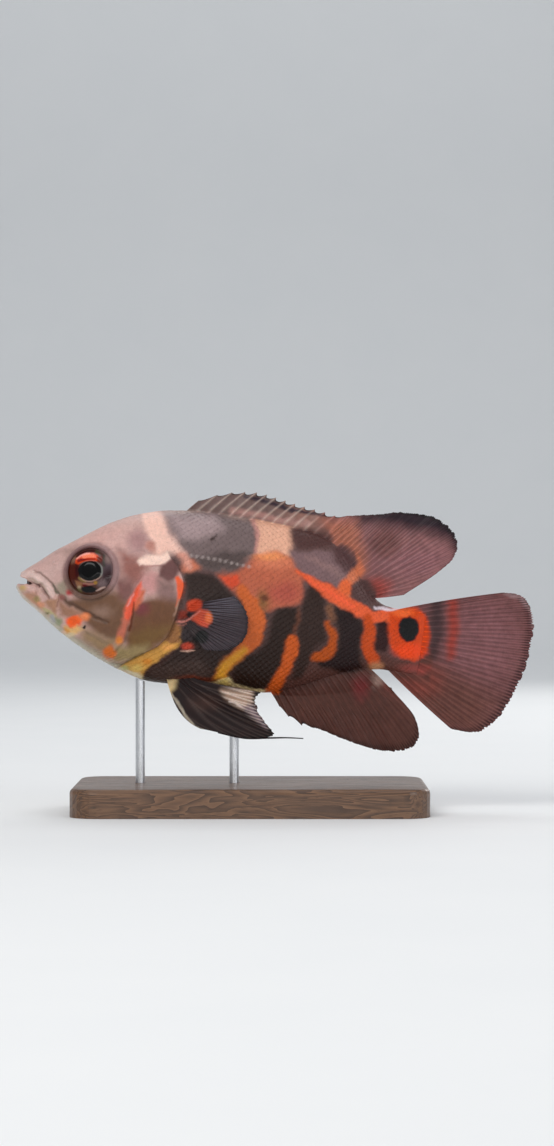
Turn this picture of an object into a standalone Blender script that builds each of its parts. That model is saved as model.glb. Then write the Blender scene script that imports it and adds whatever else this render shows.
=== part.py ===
"""A young tiger oscar fish, 165 mm long, as a still display model on a base with two rods.

Lengths are in millimetres and become metres when a mesh is made. The fish frame has its
origin at the front of the mouth, x towards the tail, y towards the fish's right side and
z up, with the fish level. An empty then lifts the fish and pitches its nose up.
"""

import math

import bmesh
import bpy
import numpy as np
from mathutils import Matrix, Vector

MM = 0.001
GAP = 0.3

NOSE_UP = math.radians(8.5)
NOSE_PLACE = (-74.0, 0.0, 72.5)

BASE_LENGTH = 112.0
BASE_WIDTH = 64.0
BASE_HEIGHT = 9.0
BASE_CORNER = 9.0
BASE_BEVEL = 1.6
ROD_RADIUS = 1.5
ROD_SINK = 5.0
ROD_PLACES = {"stand_rod_front": 43.0, "stand_rod_rear": 73.0}

SOLID_COLOURS = {
    "skin_head": (0.46, 0.33, 0.29),
    "skin_body": (0.42, 0.15, 0.08),
    "fin": (0.17, 0.08, 0.07),
    "eye": (0.02, 0.02, 0.02),
    "stand_wood": (0.09, 0.045, 0.025),
    "stand_steel": (0.55, 0.56, 0.58),
}


def curve(points):
    """A smooth curve through points in rising order of their first value, with no overshoot."""
    at, height = np.array(points, float).T
    step = np.diff(at)
    slope = np.diff(height) / step
    tangent = np.zeros(len(at))
    before, after = 2 * step[1:] + step[:-1], step[1:] + 2 * step[:-1]
    same_way = slope[:-1] * slope[1:] > 0
    safe = np.where(same_way, slope[:-1] * slope[1:], 1.0)
    mean = (before + after) * safe / (before * slope[1:] + after * slope[:-1] + 1e-12 * ~same_way)
    tangent[1:-1] = np.where(same_way, mean, 0.0)
    tangent[0], tangent[-1] = slope[0], slope[-1]

    def value(x):
        x = np.clip(x, at[0], at[-1])
        i = np.clip(np.searchsorted(at, x) - 1, 0, len(step) - 1)
        t = (x - at[i]) / step[i]
        rise = (3 - 2 * t) * t * t
        return (
            height[i] * (1 - rise)
            + height[i + 1] * rise
            + step[i] * t * (1 - t) * (tangent[i] * (1 - t) - tangent[i + 1] * t)
        )

    return value


def path(points):
    """A smooth path: each point is its place along the path, from 0 to 1, then x and z."""
    along = [p[0] for p in points]
    x = curve(list(zip(along, [p[1] for p in points])))
    z = curve(list(zip(along, [p[2] for p in points])))
    return lambda t: np.array([x(t), z(t)])


def ease(value, low, high):
    """0 up to low, 1 from high on, smooth between; high may be the smaller one."""
    t = np.clip((value - low) / (high - low), 0, 1)
    return t * t * (3 - 2 * t)


# The body's outline from the side, its half width, and the height where it is widest.
BACK = curve([
    (0, 0.8), (0.6, 3.0), (1.7, 4.5), (3.2, 5.8), (5.9, 8.1), (8.7, 10.6), (11.5, 12.9),
    (14.5, 15.0), (20.3, 19.2), (26.1, 23.1), (32.1, 26.1), (38.3, 28.3), (44.5, 29.8),
    (52, 30.8), (66, 30.9), (80, 30.4), (91, 29.4), (99.5, 26.2), (105, 21.6), (109.5, 15.9),
    (113, 11.9), (117, 10.0), (121, 9.6), (125, 9.7),
])
BELLY = curve([
    (0, -1.6), (0.8, -3.1), (2.0, -4.4), (4.1, -5.8), (7, -7.6), (12, -11.1), (15.6, -13.5),
    (19, -15.4), (26, -18.8), (33, -21.6), (40, -23.8), (46.5, -24.9), (54, -24.5),
    (62, -23.5), (72, -23.1), (80, -23.2), (84.5, -22.7), (91, -20.6), (100, -16.5),
    (109, -12.6), (114, -11.0), (119, -10.2), (125, -10.3),
])
HALF_WIDTH = curve([
    (0, 1.8), (0.7, 3.3), (2, 4.5), (4.5, 5.7), (8, 6.8), (14, 8.5), (22, 10.6), (30, 12.1),
    (40, 13.0), (50, 13.0), (62, 12.3), (75, 10.8), (90, 8.2), (100, 6.3), (108, 4.9),
    (115, 3.9), (121, 2.9), (125, 1.7),
])
WIDEST = curve([
    (0, -0.4), (10, 0.5), (22, 3.4), (35, 3.0), (50, 2.5), (75, 2.5), (100, 1.0),
    (115, -0.3), (125, -0.3),
])
FULLNESS = 0.9
BODY_END = 125.0

# The rear edge of the gill cover, as x against height, carried on to back and belly.
GILL_EDGE = curve([
    (-30, 32.0), (-24, 34.0), (-21.5, 36.0), (-19.0, 39.0), (-15.7, 43.6), (-12.5, 47.9),
    (-8.2, 50.6), (-3.9, 51.6), (2.0, 52.4), (6.6, 52.9), (12.3, 50.3), (16, 46.8),
    (20, 45.3), (35, 44.0),
])
GILL_COVER_FRONT = [
    (41.2, 11.2), (38.3, 5.2), (36.0, -0.2), (35.6, -6.6), (35.6, -11.4), (34.0, -16.0),
    (33.0, -19.0),
]
GILL_COVER_LOW = -19.8
GILL_COVER_HIGH = 15.2
GILL_COVER_THICKNESS = 2.3
GILL_SWELL = 0.9
TAIL_CUT = [(113.6, 16.0), (118.4, -16.0)]

EYE_PLACE = (22.4, 7.2)
EYE_RADIUS = 8.2
EYE_DEPTH = 3.2
EYE_STANDS_OUT = 1.3
PUPIL_RADIUS = 4.2
PUPIL_BULGE = 0.5
LENS_DEPTH = 1.4
ORBIT_RADIUS = 7.7
ORBIT_RIM = 0.95
NOSTRIL_PLACE = (11.3, 8.2)
NOSTRIL_RADIUS = 0.65

MOUTH_CORNER = 13.6
MOUTH_LINE = curve([(-1, 0.3), (0.5, 0.3), (3.9, -0.1), (7.3, -1.3), (10.7, -3.0), (13.6, -4.6), (16, -6)])
LIP_SINK = 0.5
UPPER_LIP = {"above": 1.55, "high": 1.75, "out": 1.35}
LOWER_LIP = {"above": -1.5, "high": 1.5, "out": 1.5}
MOUTH_DEPTH = 2.6
MOUTH_GAPE = 0.8

SPINE_COUNT = 13
SPINE_LEAN = math.radians(50)
SPINE_ROOTS = (49.8, 91.0)
SPINE_LENGTH = curve([
    (0, 3.4), (0.1, 6.8), (0.2, 9.2), (0.35, 10.8), (0.5, 10.4), (0.75, 9.5), (1, 9.0),
])
FIN_SINK = 2.2

SOFT_DORSAL_COUNT = 20
SOFT_DORSAL_ROOTS = path([
    (0, 94.2, 28.7), (0.25, 100.7, 25.4), (0.5, 105.8, 20.6), (0.75, 109.6, 15.8),
    (1, 112.6, 12.0),
])
SOFT_DORSAL_TIPS = path([
    (0, 101.0, 36.8), (0.2, 110.0, 38.7), (0.4, 118.5, 40.6), (0.55, 126.0, 40.9),
    (0.68, 132.5, 38.5), (0.78, 136.4, 34.4), (0.86, 136.9, 30.0), (0.92, 133.8, 25.2),
    (1, 122.0, 14.4),
])

ANAL_COUNT = 18
ANAL_ROOTS = (84.8, 115.3)
ANAL_TIPS = path([
    (0, 88.2, -26.6), (0.06, 91.5, -29.4), (0.12, 96.2, -31.6), (0.2, 101.0, -31.9),
    (0.35, 108.6, -33.7), (0.5, 115.5, -35.1), (0.62, 121.8, -35.9), (0.74, 128.0, -35.1),
    (0.82, 132.0, -33.3), (0.88, 133.6, -29.6), (0.93, 131.6, -24.2), (1, 121.6, -15.2),
])
ANAL_SPINES = 3

CAUDAL_COUNT = 18
CAUDAL_ROOTS = path([(0, 119.0, 8.9), (0.5, 120.5, 0.0), (1, 117.4, -7.6)])
CAUDAL_TIPS = path([
    (0, 153.6, 20.0), (0.08, 158.6, 20.1), (0.17, 162.4, 16.9), (0.3, 164.8, 10.5),
    (0.5, 164.3, -0.8), (0.68, 161.2, -12.7), (0.8, 157.0, -21.0), (0.92, 150.2, -25.9),
    (1, 143.4, -25.7),
])

PECTORAL_COUNT = 14
PECTORAL_ROOTS = path([(0, 55.6, 1.5), (1, 54.8, -4.8)])
PECTORAL_TIPS = path([
    (0, 69.4, 6.6), (0.15, 72.6, 3.6), (0.32, 74.2, -0.6), (0.5, 73.4, -5.4),
    (0.66, 70.6, -9.6), (0.8, 66.4, -12.6), (0.9, 62.4, -13.8), (1, 58.4, -13.6),
])
PECTORAL_FLARE = 0.3

PELVIC_ROOTS = path([(0, 51.2, -24.2), (1, 58.4, -23.6)])
PELVIC_HALF_GAP = 3.4
PELVIC_TIPS_LEFT = path([
    (0, 68.0, -37.2), (0.2, 84.5, -37.6), (0.4, 88.0, -34.6), (0.6, 86.8, -30.8),
    (0.8, 84.4, -27.2), (1, 81.6, -24.9),
])
PELVIC_TIPS_RIGHT = path([
    (0, 63.6, -36.9), (0.2, 74.0, -38.2), (0.4, 80.0, -35.8), (0.6, 82.0, -32.0),
    (0.8, 81.5, -28.2), (1, 79.4, -25.4),
])
PELVIC_COUNT = 6
FILAMENT = [(66.0, -36.7), (74.0, -37.9), (82.0, -37.9), (90.0, -36.6), (97.0, -35.3)]
FILAMENT_RADIUS = 0.42

MEMBRANE = 0.5
RAY_RIDGE = 0.55
SPINE_RIDGE = 0.75


def half_width_at(x, z, grow=0.0):
    """Half the body's width at a point of its side view."""
    centre = WIDEST(x)
    reach = np.where(z > centre, BACK(x) - centre, centre - BELLY(x)) + grow
    high = np.clip(np.abs(z - centre) / reach, 0, 1) ** (1 / FULLNESS)
    return (HALF_WIDTH(x) + grow) * np.sqrt(1 - high * high) ** FULLNESS


def gill_swell(x, z):
    """How far the head's sides stand proud of the body behind them."""
    return GILL_SWELL * ease(x, 27, 42) * ease(z, 20, 14) * ease(z, -25, -20)


def body_rings(stations, around, grow=0.0, swell=False):
    """Rings of points round the body, evenly spread on its tall, narrow section."""
    turn = np.linspace(0, 2 * math.pi, around, endpoint=False)
    turn = turn + 0.28 * np.sin(2 * turn)
    cos, sin = np.cos(turn), np.sin(turn)
    rings = []
    for x in stations:
        centre = WIDEST(x)
        reach = np.where(sin > 0, BACK(x) - centre, centre - BELLY(x)) + grow
        z = centre + reach * np.sign(sin) * np.abs(sin) ** FULLNESS
        y = (HALF_WIDTH(x) + grow) * np.sign(cos) * np.abs(cos) ** FULLNESS
        if swell:
            y = y + np.sign(cos) * gill_swell(x, z) * np.abs(cos) ** 0.3
        rings.append(np.stack([np.full(around, x), y, z], axis=1))
    return np.array(rings)


def new_object(name, points, faces):
    """A mesh object from points in millimetres, with its faces turned outwards."""
    mesh = bpy.data.meshes.new(name)
    mesh.from_pydata([tuple(float(c) * MM for c in p) for p in points], [], faces)
    work = bmesh.new()
    work.from_mesh(mesh)
    bmesh.ops.recalc_face_normals(work, faces=work.faces)
    if work.calc_volume(signed=True) < 0:
        bmesh.ops.reverse_faces(work, faces=work.faces)
    work.to_mesh(mesh)
    work.free()
    made = bpy.data.objects.new(name, mesh)
    bpy.context.scene.collection.objects.link(made)
    return made


def loft(name, rings):
    """A closed skin over rings of equal count, with a fan over each end."""
    count, around = rings.shape[:2]
    points = [*rings.reshape(-1, 3), rings[0].mean(axis=0), rings[-1].mean(axis=0)]
    faces = []
    for i in range(count - 1):
        for j in range(around):
            k = (j + 1) % around
            a, b = i * around + j, i * around + k
            faces += [(a, b, b + around), (a, b + around, a + around)]
    last = (count - 1) * around
    for j in range(around):
        k = (j + 1) % around
        faces.append((j, k, count * around))
        faces.append((last + j, last + k, count * around + 1))
    return new_object(name, points, faces)


def prism(name, outline, low=-40.0, high=40.0):
    """A side-view outline carried across the fish from y low to y high."""
    count = len(outline)
    points = [(x, y, z) for y in (low, high) for x, z in outline]
    faces = [tuple(range(count)), tuple(range(count, 2 * count))]
    faces += [(i, (i + 1) % count, count + (i + 1) % count, count + i) for i in range(count)]
    return new_object(name, points, faces)


def grown(outline, by):
    """A closed outline moved outwards by a distance; negative moves it inwards."""
    points = np.array(outline)
    area = sum(a[0] * b[1] - b[0] * a[1] for a, b in zip(points, np.roll(points, -1, axis=0)))
    before = points - np.roll(points, 1, axis=0)
    after = np.roll(points, -1, axis=0) - points
    along = before / np.linalg.norm(before, axis=1)[:, None]
    along += after / np.linalg.norm(after, axis=1)[:, None]
    along /= np.linalg.norm(along, axis=1)[:, None]
    outward = np.stack([along[:, 1], -along[:, 0]], axis=1) * math.copysign(1, area)
    return points + by * outward


def evaluate(made):
    """Gives an object the mesh that its modifiers make, and drops them."""
    bpy.context.view_layer.update()
    graph = bpy.context.evaluated_depsgraph_get()
    mesh = bpy.data.meshes.new_from_object(made.evaluated_get(graph))
    made.modifiers.clear()
    made.data = mesh


def keep_largest(made):
    """Leaves an object only its largest closed surface."""
    work = bmesh.new()
    work.from_mesh(made.data)
    bmesh.ops.triangulate(work, faces=work.faces)
    loose, shells = set(work.faces), []
    while loose:
        shell, edge_of = set(), [loose.pop()]
        while edge_of:
            face = edge_of.pop()
            shell.add(face)
            for edge in face.edges:
                for other in edge.link_faces:
                    if other in loose:
                        loose.discard(other)
                        edge_of.append(other)
        shells.append(shell)
    size = [
        abs(sum(f.verts[0].co.dot(f.verts[1].co.cross(f.verts[2].co)) for f in shell))
        for shell in shells
    ]
    extra = [f for shell in shells if shell is not shells[size.index(max(size))] for f in shell]
    bmesh.ops.delete(work, geom=extra, context="FACES")
    work.to_mesh(made.data)
    work.free()


def boolean(made, operation, *others):
    """Cuts, joins or intersects an object with others, one after the other."""
    for other in others:
        modifier = made.modifiers.new(operation.lower(), "BOOLEAN")
        modifier.operation = operation
        modifier.object = other
        evaluate(made)
    keep_largest(made)
    return made


def unite(made, pieces):
    """Joins closed pieces to an object in one union, and removes them."""
    group = bpy.data.collections.new(made.name + "_pieces")
    bpy.context.scene.collection.children.link(group)
    for piece in pieces:
        group.objects.link(piece)
    modifier = made.modifiers.new("union", "BOOLEAN")
    modifier.operation = "UNION"
    modifier.operand_type = "COLLECTION"
    modifier.collection = group
    evaluate(made)
    remove(*pieces)
    bpy.data.collections.remove(group)
    keep_largest(made)
    return made


def remove(*objects):
    for made in objects:
        bpy.data.objects.remove(made)


def surface_point(x, z, side, sink=0.0):
    """A point of the body's side: side is -1 for the fish's left and 1 for its right."""
    return np.array([x, side * (half_width_at(x, z) - sink), z])


def surface_normal(x, z, side):
    """The way the body's side faces at a point of the side view."""
    step = 0.5
    along = surface_point(x + step, z, side) - surface_point(x - step, z, side)
    up = surface_point(x, z + step, side) - surface_point(x, z - step, side)
    normal = np.cross(along, up)
    normal /= np.linalg.norm(normal)
    return normal * math.copysign(1, normal[1] * side)


def spheroid(name, centre, axis, radius, depth, rings=9, around=22):
    """A round pebble: radius across its axis and depth along it."""
    turn = Vector(axis).to_track_quat("Z", "Y").to_matrix()
    place = Vector(centre)
    sections = []
    for polar in np.linspace(0, math.pi, rings + 2)[1:-1]:
        ring = []
        for angle in np.linspace(0, 2 * math.pi, around, endpoint=False):
            across = radius * math.sin(polar)
            local = Vector((
                across * math.cos(angle), across * math.sin(angle), depth * math.cos(polar)
            ))
            ring.append(place + turn @ local)
        sections.append(ring)
    return loft(name, np.array(sections))


def torus(name, centre, axis, radius, thickness, around=26, section=6):
    """A ring of round section about an axis."""
    turn = Vector(axis).to_track_quat("Z", "Y").to_matrix()
    points = []
    for angle in np.linspace(0, 2 * math.pi, around, endpoint=False):
        for roll in np.linspace(0, 2 * math.pi, section, endpoint=False):
            across = radius + thickness * math.cos(roll)
            local = Vector((
                across * math.cos(angle), across * math.sin(angle), thickness * math.sin(roll)
            ))
            points.append(Vector(centre) + turn @ local)
    faces = []
    for i in range(around):
        for j in range(section):
            k, m = (i + 1) % around, (j + 1) % section
            corners = (i * section + j, k * section + j, k * section + m, i * section + m)
            faces += [corners[:3], (corners[0], corners[2], corners[3])]
    return new_object(name, points, faces)


def tube(name, points, radii, around=10, flat=1.0):
    """A tapering tube along points; radii are one for each point, flat squeezes it across y."""
    points = np.array(points, float)
    ways = np.gradient(points, axis=0)
    rings = []
    for point, way, radius in zip(points, ways, radii):
        way = way / np.linalg.norm(way)
        side = np.cross((0, 0, 1), way)
        side /= np.linalg.norm(side)
        up = np.cross(way, side)
        ring = [
            point + radius * (math.cos(a) * side * flat + math.sin(a) * up)
            for a in np.linspace(0, 2 * math.pi, around, endpoint=False)
        ]
        rings.append(ring)
    return loft(name, np.array(rings))


def mouth_path(count, above, corner=MOUTH_CORNER, sink=LIP_SINK):
    """Points round the mouth from the right corner, past the front, to the left corner."""
    x = corner * np.linspace(1, 0, 60) ** 2
    z = MOUTH_LINE(x) + above
    y = half_width_at(np.maximum(x, 0.05), z) - sink
    right = np.stack([x, y, z], axis=1)
    left = right[::-1] * (1, -1, 1)
    front = np.array([[-0.25, 0, z[-1]]])
    whole = np.concatenate([right, front, left])
    along = np.concatenate([[0], np.cumsum(np.linalg.norm(np.diff(whole, axis=0), axis=1))])
    at = np.linspace(0, along[-1], count)
    return np.stack([np.interp(at, along, whole[:, k]) for k in range(3)], axis=1)


def lip(name, above, high, out, count=23, around=7):
    """A lip: a soft tube that follows the mouth and thins towards both corners."""
    points = mouth_path(count, above)
    share = np.linspace(-1, 1, count)
    taper = 0.42 + 0.58 * (1 - np.abs(share) ** 3)
    ways = np.gradient(points, axis=0)
    rings = []
    for point, way, size in zip(points, ways, taper):
        way = np.array([way[0], way[1], 0.0]) / math.hypot(way[0], way[1])
        outward = np.cross((0, 0, 1), way)
        ring = [
            point + size * (math.cos(a) * out * outward + math.sin(a) * high * np.array([0, 0, 1]))
            for a in np.linspace(0, 2 * math.pi, around, endpoint=False)
        ]
        rings.append(ring)
    return loft(name, np.array(rings))


def mouth_blade(count=23):
    """The cutter of the mouth's line: a thin strip that is open most at the front."""
    outer = mouth_path(count, 0.0, sink=-2.6)
    inner = mouth_path(count, 0.0, sink=MOUTH_DEPTH)
    inner[:, 0] += MOUTH_DEPTH
    share = np.abs(np.linspace(-1, 1, count))
    half = 0.16 + 0.5 * MOUTH_GAPE * (1 - share) ** 1.5
    up = np.array([0, 0, 1])
    rings = [
        [o - h * up, o + h * up, i + h * up, i - h * up]
        for o, i, h in zip(outer, inner, half)
    ]
    return loft("mouth_blade", np.array(rings))


def gill_outline():
    """The side view of one gill cover, from its upper front corner round by the rear."""
    rear = [(float(GILL_EDGE(z)), z) for z in np.linspace(GILL_COVER_HIGH, GILL_COVER_LOW, 15)]
    return rear + [tuple(p) for p in reversed(GILL_COVER_FRONT)]


def make_head():
    """The head with lips, orbits and nostrils, and its two gill covers as pieces of their own."""
    stations = np.concatenate([
        [0.0, 0.35, 1.0, 2.0, 3.4, 5.2], np.arange(7.5, 58.0, 2.7)
    ])
    whole = body_rings(stations, 32, swell=True)
    head = loft("head", whole)
    gill_source = loft("gill_source", whole)
    inner = np.arange(24.0, 62.0, 5.0)
    core = loft("core", body_rings(inner, 24, grow=-GILL_COVER_THICKNESS, swell=True))
    deep_core = loft("deep_core", body_rings(inner, 24, -GILL_COVER_THICKNESS - GAP, True))

    covers = []
    for name, low, high in (("gill_cover_left", -40, 0), ("gill_cover_right", 0, 40)):
        cover = prism(name, grown(gill_outline(), -GAP / 2), low, high)
        covers.append(boolean(cover, "INTERSECT", gill_source))
        boolean(cover, "DIFFERENCE", core)
    pocket = prism("pocket", grown(gill_outline(), GAP / 2))
    modifier = pocket.modifiers.new("core", "BOOLEAN")
    modifier.operation = "DIFFERENCE"
    modifier.object = deep_core
    evaluate(pocket)

    pieces = [lip("upper_lip", **UPPER_LIP), lip("lower_lip", **LOWER_LIP)]
    sockets = []
    for side in (-1, 1):
        centre, axis = eye_frame(side)
        rim_centre = surface_point(*EYE_PLACE, side) - 0.15 * axis
        pieces.append(torus("orbit", rim_centre, axis, ORBIT_RADIUS, ORBIT_RIM))
        sockets.append(spheroid("socket", centre, axis, EYE_RADIUS + GAP, EYE_DEPTH + GAP))
        nostril = surface_point(*NOSTRIL_PLACE, side)
        facing = surface_normal(*NOSTRIL_PLACE, side)
        pieces.append(torus("nostril_rim", nostril, facing, NOSTRIL_RADIUS + 0.3, 0.42, 10, 5))
        sockets.append(spheroid("nostril", nostril, facing, NOSTRIL_RADIUS, 1.3, 3, 8))
    unite(head, pieces)
    rear = prism("rear", edge_outline(0.0))
    blade = mouth_blade()
    boolean(head, "DIFFERENCE", rear, pocket, blade, *sockets)
    remove(rear, pocket, blade, gill_source, core, deep_core, *sockets)
    return [head, *covers]


def edge_outline(shift):
    """Everything behind the rear edge of the head, as a side-view outline."""
    edge = [(float(GILL_EDGE(z)) + shift, z) for z in np.linspace(34, -29, 40)]
    return [*edge, (90, -29), (90, 34)]


def eye_frame(side):
    """The middle of an eyeball and the way it looks."""
    axis = surface_normal(*EYE_PLACE, side)
    return surface_point(*EYE_PLACE, side) + (EYE_STANDS_OUT - EYE_DEPTH) * axis, axis


def make_eye(name, side):
    """A flattened eyeball with the lens bulging at its middle."""
    centre, axis = eye_frame(side)
    eye = spheroid(name, centre, axis, EYE_RADIUS, EYE_DEPTH)
    ahead = centre + (EYE_DEPTH + PUPIL_BULGE - LENS_DEPTH) * axis
    lens = spheroid("lens", ahead, axis, PUPIL_RADIUS, LENS_DEPTH, 7, 18)
    return unite(eye, [lens])


def make_trunk():
    """The torso and the tail stalk, parted from head and from each other by thin cuts."""
    stations = np.concatenate([np.arange(28.0, 113.0, 3.2), [115.5, 118, 120.5, 123, BODY_END]])
    rings = body_rings(stations, 36)
    torso, tail = loft("torso", rings), loft("tail", rings)
    (high_x, high), (low_x, low) = TAIL_CUT
    half = 0.5 * GAP + 0.02
    front = [(high_x + half, 40), (high_x + half, high), (low_x + half, low), (low_x + half, -40)]
    behind = [(high_x - half, 40), (high_x - half, high), (low_x - half, low), (low_x - half, -40)]
    ahead = prism("ahead", [*front, (-20, -40), (-20, 40)])
    after = prism("after", [*behind, (160, -40), (160, 40)])
    edge = [(float(GILL_EDGE(z)) + 1.5 * GAP, z) for z in np.linspace(34, -29, 40)]
    head_room = prism("head_room", [*edge, (10, -29), (10, 34)])
    boolean(torso, "DIFFERENCE", after, head_room)
    boolean(tail, "DIFFERENCE", ahead)
    remove(ahead, after, head_room)
    return torso, tail


def bezier(ray, t):
    """A point of a ray, which is a root, a point that bends it, and a tip."""
    root, bend, tip = ray
    return (1 - t) ** 2 * root + 2 * t * (1 - t) * bend + t * t * tip


def fin(name, rays, ridges, notches, rows=7, flesh=1.3, flesh_reach=0.3):
    """A membrane over rays, with each ray a ridge on both faces and the edge cut in between.

    rays are root, bend and tip points; ridges are their heights over the membrane and
    notches the share of its length by which the membrane falls short of each ray.
    """
    columns, heights, reach = [], [], []
    for i, ray in enumerate(rays):
        columns.append(ray)
        heights.append(ridges[i])
        reach.append(1.0)
        if i + 1 < len(rays):
            columns.append([(a + b) / 2 for a, b in zip(ray, rays[i + 1])])
            heights.append(0.0)
            reach.append(1 - (notches[i] + notches[i + 1]) / 2)
    at = np.linspace(0, 1, rows) ** 0.9
    middle = np.array([
        [bezier(column, t * far) for t in at] for column, far in zip(columns, reach)
    ])
    across = np.gradient(middle, axis=0)
    along = np.gradient(middle, axis=1)
    normal = np.cross(across, along)
    normal /= np.linalg.norm(normal, axis=2)[:, :, None]
    thin = np.maximum(MEMBRANE / 2, flesh * (1 - at / flesh_reach))
    ridge = np.array(heights)[:, None] / 2 * (1 - 0.6 * at[None, :])
    half = np.maximum(thin[None, :], 0) + ridge
    faces_out = middle + half[:, :, None] * normal
    faces_in = middle - half[:, :, None] * normal

    count = len(columns)
    points = [*faces_out.reshape(-1, 3), *faces_in.reshape(-1, 3)]
    back = count * rows
    faces = []
    for i in range(count - 1):
        for j in range(rows - 1):
            a, b = i * rows + j, (i + 1) * rows + j
            for first in ((a, b, b + 1), (a, b + 1, a + 1)):
                faces += [first, tuple(back + v for v in reversed(first))]
    edge = [i * rows for i in range(count)]
    edge += [(count - 1) * rows + j for j in range(1, rows)]
    edge += [i * rows + rows - 1 for i in range(count - 2, -1, -1)]
    edge += [j for j in range(rows - 2, 0, -1)]
    for a, b in zip(edge, edge[1:] + edge[:1]):
        faces += [(a, back + a, b), (b, back + a, back + b)]
    return new_object(name, points, faces)


def flat_ray(root, tip, bow=0.0, sway=0.0):
    """A ray in the fish's middle plane, bowed in the side view and swayed to one side."""
    root, tip = np.array([root[0], 0, root[1]]), np.array([tip[0], sway, tip[1]])
    way = tip - root
    across = np.array([-way[2], 0, way[0]])
    return [root, (root + tip) / 2 + bow * across, tip]


def make_dorsal():
    """Spines and soft rays on the back, in one fin."""
    rays, ridges, notches = [], [], []
    for i in range(SPINE_COUNT):
        share = i / (SPINE_COUNT - 1)
        x = SPINE_ROOTS[0] + share * (SPINE_ROOTS[1] - SPINE_ROOTS[0])
        lean = np.array([math.cos(SPINE_LEAN), math.sin(SPINE_LEAN)])
        base = np.array([x, float(BACK(x))])
        rays.append(flat_ray(base - FIN_SINK * lean, base + SPINE_LENGTH(share) * lean, 0.04))
        ridges.append(SPINE_RIDGE)
        notches.append(0.2)
    for i in range(SOFT_DORSAL_COUNT):
        share = i / (SOFT_DORSAL_COUNT - 1)
        root, tip = SOFT_DORSAL_ROOTS(share), SOFT_DORSAL_TIPS(share)
        inward = (tip - root) / np.linalg.norm(tip - root)
        rays.append(flat_ray(root - FIN_SINK * inward, tip, -0.03, 0.9 * math.sin(3 * share)))
        ridges.append(RAY_RIDGE)
        notches.append(0.02)
    return fin("dorsal_fin", rays, ridges, notches, flesh=1.5)


def make_anal():
    """Three spines and the soft rays under the tail."""
    rays, ridges, notches = [], [], []
    for i in range(ANAL_COUNT):
        share = i / (ANAL_COUNT - 1)
        x = ANAL_ROOTS[0] + share * (ANAL_ROOTS[1] - ANAL_ROOTS[0])
        root, tip = np.array([x, float(BELLY(x))]), ANAL_TIPS(share)
        inward = (tip - root) / np.linalg.norm(tip - root)
        spine = i < ANAL_SPINES
        rays.append(flat_ray(root - FIN_SINK * inward, tip, 0.03, -0.8 * math.sin(3 * share)))
        ridges.append(SPINE_RIDGE if spine else RAY_RIDGE)
        notches.append(0.12 if spine else 0.02)
    return fin("anal_fin", rays, ridges, notches, flesh=1.5)


def make_caudal():
    """The tail fin, a fan of rays from the end of the tail stalk."""
    rays = []
    for i in range(CAUDAL_COUNT):
        share = i / (CAUDAL_COUNT - 1)
        bow = 0.05 * (0.5 - share)
        sway = 1.2 * math.sin(2.6 * share + 0.4)
        rays.append(flat_ray(CAUDAL_ROOTS(share), CAUDAL_TIPS(share), bow, sway))
    ridges = [RAY_RIDGE] * CAUDAL_COUNT
    return fin("caudal_fin", rays, ridges, [0.012] * CAUDAL_COUNT, rows=9, flesh=1.2)


def make_pectoral(name, side):
    """A fan held a little off the flank, just behind the gill cover."""
    rays = []
    for i in range(PECTORAL_COUNT):
        share = i / (PECTORAL_COUNT - 1)
        (root_x, root_z), (tip_x, tip_z) = PECTORAL_ROOTS(share), PECTORAL_TIPS(share)
        root = surface_point(root_x, root_z, side, sink=1.3)
        reach = math.hypot(tip_x - root_x, tip_z - root_z)
        tip = np.array([tip_x, root[1] + side * (1.3 + PECTORAL_FLARE * reach), tip_z])
        bend = (root + tip) / 2 + np.array([0, side * 0.07 * reach, 0])
        rays.append([root, bend, tip])
    ridges = [0.45] * PECTORAL_COUNT
    return fin(name, rays, ridges, [0.015] * PECTORAL_COUNT, rows=7, flesh=1.1)


def make_pelvic(name, side, tips, filament):
    """A pelvic fin: a stout first ray, five more, and on the left the long filament."""
    rays = []
    for i in range(PELVIC_COUNT):
        share = i / (PELVIC_COUNT - 1)
        (root_x, root_z), (tip_x, tip_z) = PELVIC_ROOTS(share), tips(share)
        root = np.array([root_x, side * (PELVIC_HALF_GAP + 0.8 * share), root_z + 2.0])
        tip = np.array([tip_x, side * (PELVIC_HALF_GAP + 3.6 + 2.6 * share), tip_z])
        drop = 5.5 * (1 - share)
        bend = (root + tip) / 2 + np.array([-1.5, side * 1.5, -drop])
        rays.append([root, bend, tip])
    ridges = [0.9, 0.7, 0.6, 0.55, 0.55, 0.5]
    made = fin(name, rays, ridges, [0.02] * PELVIC_COUNT, rows=9, flesh=1.4)
    if filament:
        reach = PELVIC_HALF_GAP + 3.9
        points = [(x, side * reach, z) for x, z in FILAMENT]
        radii = FILAMENT_RADIUS * np.linspace(1, 0.45, len(points))
        unite(made, [tube("filament", points, radii, around=7)])
    return made


def make_base():
    """The stand's base: a rounded slab with a softened upper edge."""
    outline = []
    for centre_x, centre_y, start in ((1, 1, 0), (-1, 1, 90), (-1, -1, 180), (1, -1, 270)):
        for angle in np.radians(start + np.linspace(0, 90, 7)):
            outline.append((
                centre_x * (BASE_LENGTH / 2 - BASE_CORNER) + BASE_CORNER * math.cos(angle),
                centre_y * (BASE_WIDTH / 2 - BASE_CORNER) + BASE_CORNER * math.sin(angle),
            ))
    outline = np.array(outline)
    steps = [(0.0, 0.0), (0.0, BASE_HEIGHT - BASE_BEVEL)]
    for angle in np.radians([30, 60, 90]):
        steps.append((
            BASE_BEVEL * (1 - math.cos(angle)), BASE_HEIGHT - BASE_BEVEL * (1 - math.sin(angle))
        ))
    rings = []
    for inset, height in steps:
        level = grown(outline, -inset)
        rings.append(np.column_stack([level, np.full(len(level), height)]))
    return loft("stand_base", np.array(rings))


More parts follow.
